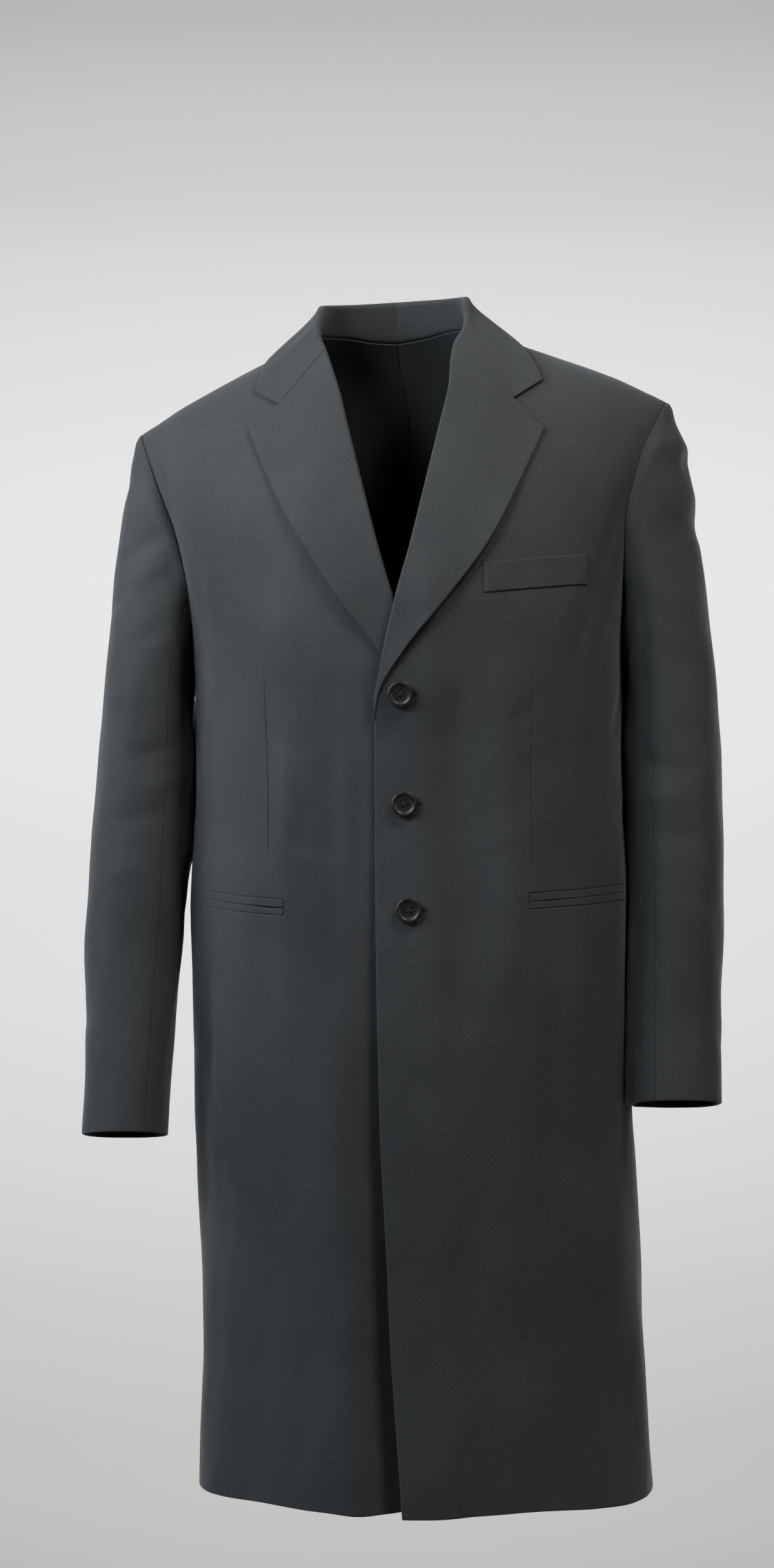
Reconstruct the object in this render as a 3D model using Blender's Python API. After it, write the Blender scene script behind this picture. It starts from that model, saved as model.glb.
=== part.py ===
"""A worn frock coat, knee length, with three buttons and notched lapels.

The coat hangs as its wearer holds it: the neck, hem, cuffs and armholes are open.
Each cut piece is one closed wall of cloth. The body is a stack of rounded rings that
closes over the shoulders; sleeves, lapels and collar start from the body's own seams.
X runs to the wearer's left, -Y to the front and +Z up. The origin is at the middle of
the neck's base. Tables and sizes are in millimetres and degrees until MM is applied.
"""

import math

import bmesh
import bpy
import numpy as np

MM = 0.001

# Cloth and seams
CLOTH = 2.0             # thickness of a cut piece
TRIM_CLOTH = 1.2        # thickness of a welt or a jet
SEAM_GAP = 0.3          # between two pieces at a seam
TRIM_GAP = 0.6          # between a panel and the flat trim that lies on it
FINE_STEP = 0.4         # step for measuring a slope, mm or degrees
ROW_MATCH = 0.5         # two rows nearer than this are the same row
SHARP_ANGLE = 35.0
WOOL = (0.045, 0.050, 0.056)
HORN = (0.02, 0.02, 0.022)
ROUGHNESS = {WOOL: 0.85, HORN: 0.35}

# Body
UNDERARM_Z = -300.0
HEM_Z = -1057.0
SHOULDER_REACH = 255.0  # half width of the ring that the shoulder seam lies on
LIFT_ROUND = 0.8        # how quickly the body rises over the shoulder
WIDEN_ROUND = 1.5       # how late it widens to the shoulder
BACK_TAPER = 0.85
FRONT_TAPER_NECK = 1.5
FRONT_TAPER_SHOULDER = 1.05
SIDE_SEAM_UNDERARM = 90.0
SIDE_SEAM_HEM = 97.0

BODY_RINGS = (
    # z, half_width, front_depth, back_depth, squareness of the ring
    (-1057, 210, 152, 150, 2.15),
    (-860, 203, 148, 144, 2.25),
    (-620, 202, 145, 137, 2.4),
    (-510, 203, 142, 128, 2.4),
    (-420, 198, 142, 124, 2.4),
    (-300, 197, 148, 135, 2.4),
)
SHOULDER_RIDGE = (
    # x, z
    (0, 40), (40, 32), (78, 15), (108, -2.5), (140, -16),
    (170, -29), (200, -43), (225, -56.5), (242, -66),
)
ARMHOLE_FRONT = (
    # rise, angle from the front centre on the left and on the right
    (0, 90, 90), (4, 80, 80), (9, 74, 74.5), (17, 68, 70.5), (28, 64, 71.5),
    (45, 64.5, 73), (60, 67.5, 73), (90, 70, 71.5),
)
ARMHOLE_BACK = (
    # rise, angle from the back centre on the left and on the right
    (0, 90, 90), (4, 82, 82), (9, 77.5, 77.5), (17, 73, 73), (28, 70, 71),
    (45, 68.5, 71), (60, 69, 71), (90, 70, 71.5),
)
FRONT_EDGE = (
    # z, distance past the centre of the front edge, then of the roll line, then of the
    # neck seam, on the left front and on the right front
    (-1057, -20, -20), (-855, -27, -27), (-330, -25, -25), (-300, -19, -12),
    (-242, -4.5, 8.5), (-193, 9.5, 22.5), (-122, 28, 39.5), (-54, 45.5, 54.5),
    (-8, 58, 62), (15, 78, 78),
)
BACK_NECK = (
    # rise, x of the back neck seam
    (63, 0), (66, 24), (70, 42), (76, 60), (83, 72), (90, 78),
)
BODY_FOLDS = (
    # angle, half_span, out, top_z, full_z, end_z
    (28, 13, 3.0, -380, -560, -900),
    (52, 13, -2.5, -420, -700, -1100),
    (75, 14, 2.5, -730, -960, -1150),
    (-46, 15, 3.5, -420, -620, -1000),
    (-70, 12, -3.0, -420, -700, -1150),
    (-24, 12, -2.0, -520, -800, -1150),
    (112, 15, 3.0, -480, -900, -1150),
    (138, 14, -3.5, -420, -800, -1150),
    (162, 12, 3.0, -360, -760, -1150),
    (-50, 30, -13.0, -640, -1100, -1500),
    (-115, 15, 3.0, -480, -850, -1150),
    (-141, 14, -3.5, -440, -860, -1150),
    (-164, 11, 2.5, -380, -800, -1150),
)

HEM_LIFT = (
    # angle, how far the hem hangs higher than HEM_Z
    (-180, 0), (-90, 0), (-65, 0.5), (-42, 3), (-25, 3), (-12, 0), (0, 0),
    (12, 2.5), (25, 4), (45, 0.5), (65, -3), (90, -1), (180, 0),
)
HEM_LIFT_FROM = -880.0

# How the worn coat stands
YAW_TOP, YAW_HEM = math.radians(3.0), math.radians(1.0)
ROLL_TOP = math.radians(3.3)
LEAN = (
    # z, sideways shift
    (-1057, 29), (-860, 24.6), (-700, 17.4), (-510, 14), (-300, 13), (-200, 12),
    (-60, 9), (0, 0), (40, -1),
)

# Closing of the fronts
OVER_LAP = 3.2          # the left front lies this far out where it covers the right
OVER_LAPEL = 8.0        # and this far where it also covers the right lapel
LAP_INNER, LAP_OUTER = 20.0, 55.0       # x over which it comes back to the body
LAP_FADE = (-245.0, -190.0)             # z over which the lap ends at the top
LAPEL_COVER = (-372.0, -318.0)          # z over which the cover of the lapel starts
UNDER_RECESS = 25.0     # the right front's edge falls back this far at the hem
UNDER_RISE = 4.0
RECESS_START = -72.0

# Lapels and collar
LAPEL_BOTTOM_Z = -322.0
ROLL_RADIUS = 1.8       # middle radius of the lapel's roll
ROLL_LEAD = 0.7         # how far past its seam a lapel starts to turn
COLLAR_RADIUS = 3.2     # middle radius of the collar's fold at the back
STAND_LEAN = 0.35       # how far the stand leans towards the neck
NECK_CENTRE = np.array((0.0, 5.0, 0.0))
LAPEL_LIFT = {
    # height the free edge stands off the front, then the z over which that starts
    1: (5.0, LAPEL_BOTTOM_Z, -250.0), -1: (4.0, -290.0, -225.0),
}
LAPEL_LIFT_FADE = (-190.0, -110.0)
LAPEL_TOP_BEND = 0.7    # share of the lapel's rows after which they turn to its top edge
# x and z on the left (1) and on the right (-1)
GORGE_START = {1: (58.0, -8.0), -1: (62.0, -8.0)}
NOTCH = {1: (101.0, -62.0), -1: (110.0, -55.0)}
COLLAR_CORNER = {1: (129.5, -45.5), -1: (131.0, -39.0)}
LAPEL_CORNER = {1: (128.5, -91.5), -1: (138.0, -74.0)}
NOTCH_SHARE = 0.63      # how far along the lapel's top the notch is
LAPEL_PARTS = (0, NOTCH_SHARE / 3, NOTCH_SHARE * 2 / 3, NOTCH_SHARE, 0.82, 1)
LAPEL_ROLL_STEPS = 4
LAPEL_EDGE = (
    # z, x below the corner, on the left and on the right
    (-137, 105.5, 112.5), (-190, 77.5, 82.5), (-240, 38.5, 51.5), (-285, 1, 18.5),
    (-322, -22, -9),
)
COLLAR_FOLD = (
    # share of the way from back centre to gorge, x, y, z
    (0, 0, 62, 48), (0.25, 38, 52, 47), (0.45, 60, 28, 45), (0.6, 66, 4, 42),
    (0.75, 66, -18, 28), (0.9, 62, -38, 8),
)
COLLAR_EDGE = (
    # share, x, rise counted from the back over the shoulder to the front
    (0, 0, 55.4), (0.22, 50, 58), (0.4, 88, 68.5), (0.52, 104, 90),
    (0.64, 118, 106), (0.8, 126, 117), (1, 130, 122.4),
)
COLLAR_SEAM = (
    # share, x, rise counted like the edge's
    (0, 0, 63), (0.26, 42, 70), (0.52, 78, 90), (0.76, 70, 106), (1, 58, 119),
)
GORGE_PART = 0.66       # share of the collar's end that lies along the gorge
COLLAR_PARTS = (0, GORGE_PART / 3, GORGE_PART * 2 / 3, GORGE_PART, 0.83, 1)
COLLAR_CLEAR = 4.2      # middle of the collar's edge above the middle of the body
COLLAR_STAND_PARTS = (0, 0.34, 0.67)
COLLAR_FOLD_TURNS = (180, 135, 90, 45)
COLLAR_HOOK = (0.68, 0.97)      # share over which the fold becomes the lapel's roll
COLLAR_END_FROM = 0.8           # share from which the fall bends to its end edge
COLLAR_DROP, COLLAR_SPREAD = 0.45, 1.1      # how the fall leaves the fold and lands

# Sleeves, where they hang: outer and inner are distances from x = 0
BICEPS_Z = -325.0
SLEEVE_ROUND = 2 / 2.3
CUFF_TILT = 0.18
CUFF_TILT_FROM = -480.0
# How a sleeve leaves the armhole at the shoulder, then at the underarm
SLEEVE_OUTWARDS = (1.0, 0.12)
SLEEVE_DOWNWARDS = (0.42, 1.0)
SLEEVE_FORWARDS = 0.45
SLEEVE_TURNS_DOWN = (95.0, 180.0)   # angle round the sleeve over which that changes
CAP_LEAVE, CAP_ARRIVE = 0.35, 0.9   # shares of the cap's length, with these limits
CAP_LEAVE_LIMITS = (6.0, 45.0)
SLEEVE_FRONT_SEAM = 120.0   # degrees round the sleeve from its outside, over the front
SLEEVE_BACK_SEAM = 255.0
SLEEVES = {
    "right": (
        # z, outer, inner, centre_y, half_depth
        (-325, 270, 188.3, 8, 74), (-384, 275, 188.5, 4, 71), (-455, 281, 191.3, 0, 68),
        (-526, 283.6, 194.8, -10, 63), (-598, 284, 201, -22, 58), (-668, 284, 206.5, -38, 54),
        (-726, 286, 210, -50, 51),
    ),
    "left": (
        (-325, 298, 213.8, -6, 74), (-384, 301.6, 215, -10, 71), (-455, 303, 217, -16, 68),
        (-526, 300.7, 219, -26, 63), (-598, 298.7, 218, -38, 58), (-668, 298.4, 217.6, -52, 53),
        (-697, 298, 217.6, -58, 51),
    ),
}
SLEEVE_FOLDS = {
    # angle round the sleeve, half_span, z, half_height, out
    "right": ((60, 60, -150, 34, 4), (100, 55, -205, 30, -3), (30, 60, -560, 60, 2.5)),
    "left": ((10, 65, -133, 30, 4.5), (25, 55, -170, 18, -3.5), (-20, 60, -540, 70, 2.5)),
}

# Pockets and buttons
WELT = ((72, -235), (164, -230.5), (164, -204), (72, -209))   # x, z of its corners
JET_HEIGHT = 6.8
# x and z of the two ends of the mouth between the jets, on the left and on the right
JET_MOUTH = {1: ((109.0, -510.0), (196.0, -508.0)), -1: ((108.0, -509.5), (187.0, -501.0))}
BUTTON_PLACES = (
    # name, x, z
    ("top", -1.7, -320.8), ("middle", 0.5, -419.5), ("bottom", 3.6, -514.1),
)
BUTTON_SIDES = 24
BUTTON_PROFILE = (
    # distance from the axis, height above the cloth
    (2.6, 0), (2.6, 2.0), (10.3, 2.0), (11.5, 3.4), (11.5, 5.1), (10.2, 6.0), (8.7, 5.2),
)

# Rows and columns of the walls
SKIRT_Z = (-1057, -990, -920, -850, -780, -710, -640, -575, -515, -460, -405, -360, -322)
FRONT_RISES = (0, 3, 7, 12, 18, 25, 33, 42, 51)
NECK_RISES = (69, 79, 90)
BACK_RISES = (0, 3.5, 8, 14, 21, 29, 38, 47, 55)
FRONT_COLUMNS = 12
FRONT_CROWD = 1.12      # columns a little closer at the front edge
BACK_COLUMNS = 8
CAP_SHARES = (0, 0.06, 0.16, 0.3, 0.46, 0.64, 0.82, 1)
TUBE_ROWS = 8
WELT_COLUMNS, WELT_ROWS = 7, 3
JET_COLUMNS = 11
EVEN_SAMPLES = 161      # samples for laying columns evenly along a ring
EDGE_GUESS = 20.0       # the front edge's angle is found from this one
EDGE_ROUNDS, EDGE_STEP = 60, 0.7        # in this many rounds, each this share of the way


def clear_scene():
    """Start from an empty file."""
    for item in list(bpy.data.objects):
        bpy.data.objects.remove(item, do_unlink=True)


# Curves and vectors

def smoothstep(low, high, value):
    share = np.clip((value - low) / (high - low), 0, 1)
    return share * share * (3 - 2 * share)


def unit(vectors):
    return vectors / np.linalg.norm(vectors, axis=-1, keepdims=True)


def mix(first, second, share):
    return first + (second - first) * share


def hermite(start, end, leave, arrive, share):
    """Cubic from start to end with the given slopes at its two ends."""
    square, cube = share ** 2, share ** 3
    return ((2 * cube - 3 * square + 1) * start + (3 * square - 2 * cube) * end
            + (cube - 2 * square + share) * leave + (cube - square) * arrive)


def through(rows):
    """Smooth function through a table: its first column goes in, the others come out."""
    data = np.array(sorted(rows), float)
    place, value = data[:, 0], data[:, 1:]
    step = np.diff(place)[:, None]
    slope = np.diff(value, axis=0) / step
    product, total = slope[:-1] * slope[1:], slope[:-1] + slope[1:]
    middle = np.where(product > 0, 2 * product / np.where(product > 0, total, 1), 0)
    tangent = np.vstack((slope[:1], middle, slope[-1:]))

    def read(where):
        where = np.asarray(where, float)
        index = np.clip(np.searchsorted(place, where) - 1, 0, len(step) - 1)
        share = ((where - place[index]) / step[index, 0])[..., None]
        inside = np.clip(share, 0, 1)
        width = step[index]
        result = hermite(value[index], value[index + 1],
                         tangent[index] * width, tangent[index + 1] * width, inside)
        end_slope = np.where(share > 1, tangent[index + 1], tangent[index])
        result = result + (share - inside) * width * end_slope
        return result[..., 0] if result.shape[-1] == 1 else result

    return read


def sided(table):
    """Function of a side, 1 for left or -1 for right, and a place, from a two-sided table."""
    read = through(table)
    return lambda side, where: read(where)[..., 0 if side > 0 else 1]


body_ring = through(BODY_RINGS)
ridge = through(SHOULDER_RIDGE)
armhole_front = sided(ARMHOLE_FRONT)
armhole_back = sided(ARMHOLE_BACK)
front_edge = sided(FRONT_EDGE)
back_neck = through(BACK_NECK)
lean = through(LEAN)
hem_lift = through(HEM_LIFT)


# The body's surface

def posed(point):
    """Turn, tip and shift a point of the symmetric coat to where the worn coat has it."""
    x, y, z = np.moveaxis(np.asarray(point, float), -1, 0)
    down = np.clip(z / HEM_Z, 0, 1)
    yaw = mix(YAW_TOP, YAW_HEM, down)
    roll = mix(ROLL_TOP, 0.0, down)
    return np.stack((x * np.cos(yaw) + y * np.sin(yaw) + lean(z),
                     y * np.cos(yaw) - x * np.sin(yaw),
                     z + x * np.sin(roll)), -1)


def body_fold(angle, z):
    """How far the long soft folds stand out of the rings."""
    out = np.zeros(np.broadcast(angle, z).shape)
    for place, half_span, height, top_z, full_z, end_z in BODY_FOLDS:
        away = np.clip(np.abs((angle - place + 180) % 360 - 180) / half_span, 0, 1)
        fall = smoothstep(top_z, full_z, z) * (1 - smoothstep(full_z, end_z, z))
        out = out + height * np.cos(away * math.pi / 2) ** 2 * fall
    return out


def ring_sizes(rise):
    """Level, half width, lift, rounding exponent, climb and the two depths at a height."""
    level = UNDERARM_Z + np.minimum(rise, 0)
    over = np.clip(rise, 0, 180)
    climb = np.radians(np.where(over > 90, 180 - over, over))
    lift = np.sin(climb) ** LIFT_ROUND
    half, front, back, square = np.moveaxis(body_ring(level), -1, 0)
    half = half + (SHOULDER_REACH - half) * lift ** WIDEN_ROUND
    return level, half, lift, 2 / square, climb, front, back


def seen_at(angle, rise):
    """x and z at which the surface shows before it is posed and folded."""
    level, half, lift, rounding = ring_sizes(rise)[:4]
    turn = np.radians(angle)
    x = half * np.sign(np.sin(turn)) * np.abs(np.sin(turn)) ** rounding
    return x, level + (ridge(np.abs(x)) - level) * lift


def body(angle, rise):
    """Point of the body's middle surface.

    angle is counted round the body from the front centre, positive to the wearer's left.
    rise is the distance below the underarm when negative, and when positive the angle
    over the shoulder: 90 is the shoulder seam and beyond it the other side.
    """
    angle, rise = np.broadcast_arrays(np.asarray(angle, float), np.asarray(rise, float))
    turn = np.radians(angle)
    rounding, climb, front, back = ring_sizes(rise)[3:]
    facing = np.where(np.cos(turn) >= 0, 1.0, -1.0) * np.where(rise > 90, -1.0, 1.0)
    x, z = seen_at(angle, rise)
    front_taper = mix(FRONT_TAPER_NECK, FRONT_TAPER_SHOULDER,
                      smoothstep(0, SHOULDER_REACH, np.abs(x)))
    taper = np.where(facing > 0, front_taper, BACK_TAPER)
    depth = np.where(facing > 0, front, back)
    y = -facing * depth * np.abs(np.cos(turn)) ** rounding * np.cos(climb) ** taper
    fold = body_fold(angle, z)
    z = z + hem_lift((angle + 180) % 360 - 180) * smoothstep(HEM_LIFT_FROM, HEM_Z, z)
    return posed(np.stack((x + fold * np.sin(turn), y - fold * np.cos(turn), z), -1))


def body_normal(angle, rise):
    across = body(angle + FINE_STEP, rise) - body(angle - FINE_STEP, rise)
    along = body(angle, rise + FINE_STEP) - body(angle, rise - FINE_STEP)
    return unit(np.cross(across, along))


def angle_at(x, rise):
    """Angle from the nearer centre line at which the body is x wide at a rise."""
    half, rounding = ring_sizes(rise)[1], ring_sizes(rise)[3]
    reach = np.clip(np.abs(x) / half, 0, 1) ** (1 / rounding)
    return np.sign(x) * np.degrees(np.arcsin(reach))


def front_place(x, z):
    """Angle and rise of the front's point that is seen at x and z."""
    x, z = np.broadcast_arrays(np.asarray(x, float), np.asarray(z, float))
    lift = np.clip((z - UNDERARM_Z) / (ridge(np.abs(x)) - UNDERARM_Z), 0, 1)
    climb = np.degrees(np.arcsin(lift ** (1 / LIFT_ROUND)))
    rise = np.where(z < UNDERARM_Z, z - UNDERARM_Z, climb)
    return angle_at(x, rise), rise


def front_out(side, x, z):
    """How far a front lies out of the body's surface where the two fronts close."""
    if side > 0:
        near = 1 - smoothstep(LAP_INNER, LAP_OUTER, x)
        cover = mix(OVER_LAP, OVER_LAPEL, smoothstep(*LAPEL_COVER, z))
        return near * cover * (1 - smoothstep(*LAP_FADE, z))
    down = smoothstep(UNDERARM_Z, HEM_Z, z)
    return -UNDER_RECESS * down * smoothstep(RECESS_START, 0, -x)


def front_point(side, angle, rise):
    """Middle point and outward direction of a front, whose angle grows from its own edge."""
    x, z = seen_at(angle, rise)
    outward = body_normal(side * angle, rise)
    point = body(side * angle, rise) + outward * front_out(side, x, z)[..., None]
    if side < 0:
        lifted = smoothstep(UNDERARM_Z, HEM_Z, z) * smoothstep(RECESS_START, 0, -x)
        point[..., 2] += UNDER_RISE * lifted
    return point, outward


def front_inner_angle(side, rise):
    """Angle of the front edge, roll line or neck seam at a rise."""
    angle = np.full(np.shape(rise), EDGE_GUESS)
    for _ in range(EDGE_ROUNDS):
        z = seen_at(angle, rise)[1]
        angle = mix(angle, angle_at(front_edge(side, z), rise), EDGE_STEP)
    return angle


# Walls of cloth

def spread(start, end, rise, columns, crowd=1.0):
    """Angles from start to end at equal steps of length along the body, row by row."""
    samples = np.linspace(0, 1, EVEN_SAMPLES)
    result = np.empty((len(rise), columns + 1))
    for row, height in enumerate(rise):
        angles = mix(start[row], end[row], samples)
        steps = np.linalg.norm(np.diff(body(angles, height), axis=0), axis=-1)
        travel = np.concatenate(([0], np.cumsum(steps)))
        wanted = travel[-1] * np.linspace(0, 1, columns + 1) ** crowd
        result[row] = np.interp(wanted, travel, angles)
    return result


def pull_in(points, first_row=0.0, last_row=0.0, first_column=0.0, last_column=0.0):
    """Move the named edges of a grid of points inwards."""
    points = points.copy()
    for amount, edge, inner in ((first_row, 0, 1), (last_row, -1, -2)):
        points[edge] += unit(points[inner] - points[edge]) * amount
    for amount, edge, inner in ((first_column, 0, 1), (last_column, -1, -2)):
        points[:, edge] += unit(points[:, inner] - points[:, edge]) * amount
    return points


def grid_normals(points, wrap=False):
    """Outward direction at each point of a grid, from its neighbours."""
    along = np.gradient(points, axis=0)
    if wrap:
        across = np.roll(points, -1, 1) - np.roll(points, 1, 1)
    else:
        across = np.gradient(points, axis=1)
    return unit(np.cross(across, along))


def add_object(name, vertices, faces, material):
    """Mesh object with its faces turned outwards, vertices given in millimetres."""
    mesh = bpy.data.meshes.new(name)
    mesh.from_pydata([tuple(v) for v in np.asarray(vertices) * MM], [], faces)
    work = bmesh.new()
    work.from_mesh(mesh)
    bmesh.ops.recalc_face_normals(work, faces=work.faces)
    work.to_mesh(mesh)
    work.free()
    mesh.materials.append(material)
    mesh.shade_smooth()
    mesh.set_sharp_from_angle(angle=math.radians(SHARP_ANGLE))
    item = bpy.data.objects.new(name, mesh)
    bpy.context.collection.objects.link(item)
    return item


def add_wall(name, middle, outward, material, thickness=CLOTH):
    """Closed wall of cloth on a grid of middle points."""
    rows, columns = middle.shape[:2]
    count = rows * columns
    half = outward * thickness / 2
    vertices = np.concatenate(((middle + half).reshape(-1, 3), (middle - half).reshape(-1, 3)))
    index = np.arange(count).reshape(rows, columns)
    faces = []
    for row in range(rows - 1):
        for column in range(columns - 1):
            quad = [index[row, column], index[row, column + 1],
                    index[row + 1, column + 1], index[row + 1, column]]
            faces.append([int(v) for v in quad])
            faces.append([int(v) + count for v in reversed(quad)])
    rim = np.concatenate((index[0, :-1], index[:-1, -1], index[-1, :0:-1], index[:0:-1, 0]))
    for here, there in zip(rim, np.roll(rim, -1)):
        faces.append([int(here), int(there), int(there) + count, int(here) + count])
    return add_object(name, vertices, faces, material)


def plain_material(name, colour):
    material = bpy.data.materials.new(name)
    material.use_nodes = True
    shader = material.node_tree.nodes["Principled BSDF"]
    shader.inputs["Base Color"].default_value = (*colour, 1)
    shader.inputs["Roughness"].default_value = ROUGHNESS[colour]
    shader.inputs["Metallic"].default_value = 0.0
    return material


# Fronts and backs

def skirt_rises():
    return [z - UNDERARM_Z for z in SKIRT_Z]


def gorge_rise(side):
    return float(front_place(*GORGE_START[side])[1])


def front_rises(side):
    return np.array(skirt_rises() + list(FRONT_RISES) + [gorge_rise(side)] + list(NECK_RISES))


def back_rises():
    neck = [row[0] for row in BACK_NECK]
    return np.array(skirt_rises() + list(BACK_RISES) + neck)


def side_seam(rise):
    down = np.clip(rise / (HEM_Z - UNDERARM_Z), 0, 1)
    return mix(SIDE_SEAM_UNDERARM, SIDE_SEAM_HEM, down)


def build_front(name, side, material):
    rise = front_rises(side)
    start = front_inner_angle(side, rise)
    end = np.where(rise < 0, side_seam(rise), armhole_front(side, np.maximum(rise, 0)))
    angle = spread(start, end, rise, FRONT_COLUMNS, crowd=FRONT_CROWD)
    middle, outward = front_point(side, angle, rise[:, None])
    middle = pull_in(middle, last_row=SEAM_GAP / 2, last_column=SEAM_GAP / 2)
    return add_wall(name, middle, outward, material)


def back_inner_angle(rise):
    x = np.where(rise > BACK_NECK[0][0], back_neck(rise), 0)
    return 180 - angle_at(x, rise)


def build_back(name, side, material):
    rise = back_rises()
    end = np.where(rise < 0, side_seam(rise), 180 - armhole_back(side, np.maximum(rise, 0)))
    angle = side * spread(back_inner_angle(rise), end, rise, BACK_COLUMNS)
    middle = body(angle, rise[:, None])
    outward = body_normal(angle, rise[:, None])
    half_gap = SEAM_GAP / 2
    middle = pull_in(middle, last_row=half_gap, first_column=half_gap, last_column=half_gap)
    return add_wall(name, middle, outward, material)


# Pieces that start at a seam of the body

def start_at_seam(edge, outward, beyond, heading):
    """Middle point and outward direction where a turned piece starts at a panel's edge.

    outward is the panel's own direction, beyond points out of it past its edge and
    heading is the way the new piece sets off. Its outer face starts at the panel's
    outer corner, one gap away, so the two walls never touch whatever the turn.
    """
    over = np.sum(heading * outward, -1)
    ahead = np.sum(heading * beyond, -1)
    turn = np.arctan2(over, ahead)[..., None]
    corner = edge + outward * CLOTH / 2
    corner = corner + SEAM_GAP * (np.cos(turn / 2) * beyond + np.sin(turn / 2) * outward)
    facing = np.cos(turn) * outward - np.sin(turn) * beyond
    return corner - facing * CLOTH / 2, facing


def armhole_loop(side):
    """Seam points from the shoulder down the front to the underarm and up the back."""
    front = np.array(list(NECK_RISES[::-1]) + [gorge_rise(side)] + list(FRONT_RISES[::-1]))
    neck = [row[0] for row in BACK_NECK]
    back = np.array(list(BACK_RISES[1:]) + neck[:-1])
    rise = np.concatenate((front, back))
    angle = np.concatenate((armhole_front(side, front), 180 - armhole_back(side, back)))
    edge = body(side * angle, rise)
    outward = body_normal(side * angle, rise)
    along = np.roll(edge, -1, 0) - np.roll(edge, 1, 0)
    return edge, outward, side * unit(np.cross(outward, along))


def loop_turns(edge):
    """Angle round the sleeve of each armhole point: 0 at the shoulder, 180 at the underarm."""
    steps = np.linalg.norm(np.roll(edge, -1, 0) - edge, axis=-1)
    travel = np.concatenate(([0], np.cumsum(steps)))
    underarm = len(NECK_RISES) + len(FRONT_RISES)
    return np.interp(travel[:-1], (0, travel[underarm], travel[-1]), (0, 180, 360))


def tube(side_name, turn, z):
    """Point of the hanging sleeve: turn 0 is outside, 90 the front, 180 next to the body."""
    side = 1 if side_name == "left" else -1
    outer, inner, centre_y, half_depth = np.moveaxis(through(SLEEVES[side_name])(z), -1, 0)
    cosine, sine = np.cos(np.radians(turn)), np.sin(np.radians(turn))
    across = np.sign(cosine) * np.abs(cosine) ** SLEEVE_ROUND
    ahead = np.sign(sine) * np.abs(sine) ** SLEEVE_ROUND
    x = side * ((outer + inner) / 2 + (outer - inner) / 2 * across)
    y = centre_y - half_depth * ahead
    cuff_z = SLEEVES[side_name][-1][0]
    tilt = CUFF_TILT * smoothstep(CUFF_TILT_FROM, cuff_z, z)
    return np.stack(np.broadcast_arrays(x, y, z - tilt * (y - centre_y)), -1)


def sleeve_fold(side_name, turn, z):
    out = np.zeros(np.broadcast(turn, z).shape)
    for place, half_span, fold_z, half_height, height in SLEEVE_FOLDS[side_name]:
        away = np.clip(np.abs((turn - place + 180) % 360 - 180) / half_span, 0, 1)
        off = np.clip(np.abs(z - fold_z) / half_height, 0, 1)
        out = out + height * (np.cos(away * math.pi / 2) * np.cos(off * math.pi / 2)) ** 2
    return out


def sleeve_heading(side, turn):
    """The way the sleeve sets off from the armhole, out at the top and down at the underarm."""
    below = smoothstep(*SLEEVE_TURNS_DOWN, np.abs((turn + 180) % 360 - 180))
    outwards = mix(*SLEEVE_OUTWARDS, below)
    downwards = mix(*SLEEVE_DOWNWARDS, below)
    forwards = SLEEVE_FORWARDS * np.sin(np.radians(turn))
    return unit(np.stack((side * outwards, -forwards, -downwards), -1))


def sleeve_grid(side_name):
    """Middle points and outward directions of a whole sleeve, row by row from the armhole."""
    side = 1 if side_name == "left" else -1
    edge, outward, beyond = armhole_loop(side)
    turn = loop_turns(edge)
    heading = sleeve_heading(side, turn)
    start, facing = start_at_seam(edge, outward, beyond, heading)
    biceps = tube(side_name, turn, np.full(len(turn), BICEPS_Z))
    below = tube(side_name, turn, np.full(len(turn), BICEPS_Z - FINE_STEP))
    span = np.linalg.norm(biceps - start, axis=-1, keepdims=True)
    leave = heading * np.clip(CAP_LEAVE * span, *CAP_LEAVE_LIMITS)
    arrive = unit(below - biceps) * span * CAP_ARRIVE
    rows = [hermite(start, biceps, leave, arrive, share) for share in CAP_SHARES]
    cuff_z = SLEEVES[side_name][-1][0]
    for z in np.linspace(BICEPS_Z, cuff_z, TUBE_ROWS + 1)[1:]:
        rows.append(tube(side_name, turn, np.full(len(turn), z)))
    middle = np.array(rows)
    normals = grid_normals(middle, wrap=True) * side
    normals[0] = facing
    middle = middle + normals * sleeve_fold(side_name, turn, middle[..., 2])[..., None]
    return middle, normals, turn


def build_sleeve(side_name, material):
    """Top and under halves, parted by the front seam and the back seam."""
    middle, normals, turn = sleeve_grid(side_name)
    count = len(turn)
    front_seam = int(np.argmin(np.abs(turn - SLEEVE_FRONT_SEAM)))
    back_seam = int(np.argmin(np.abs(turn - SLEEVE_BACK_SEAM)))
    halves = (("top", np.arange(back_seam - count, front_seam + 1)),
              ("under", np.arange(front_seam, back_seam + 1)))
    for half_name, columns in halves:
        points = pull_in(middle[:, columns], first_column=SEAM_GAP / 2,
                         last_column=SEAM_GAP / 2)
        add_wall(f"{half_name}_sleeve_{side_name}", points, normals[:, columns], material)


# Lapels

def lapel_out(side, across, z):
    """How far a lapel stands off the front, which grows towards its free edge."""
    height, low, high = LAPEL_LIFT[side]
    along = smoothstep(low, high, z) * (1 - smoothstep(*LAPEL_LIFT_FADE, z))
    return height * along * across ** 2


def roll_section(edge, outward, beyond):
    """Half turn of cloth from a front's edge until it lies over the front, with directions."""
    turn = np.linspace(0, math.pi, LAPEL_ROLL_STEPS + 1)[:, None]
    ahead = ROLL_LEAD + ROLL_RADIUS * np.sin(turn)
    ahead[0] = SEAM_GAP
    points = edge + beyond * ahead + outward * ROLL_RADIUS * (1 - np.cos(turn))
    return points, outward * np.cos(turn) - beyond * np.sin(turn)


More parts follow.
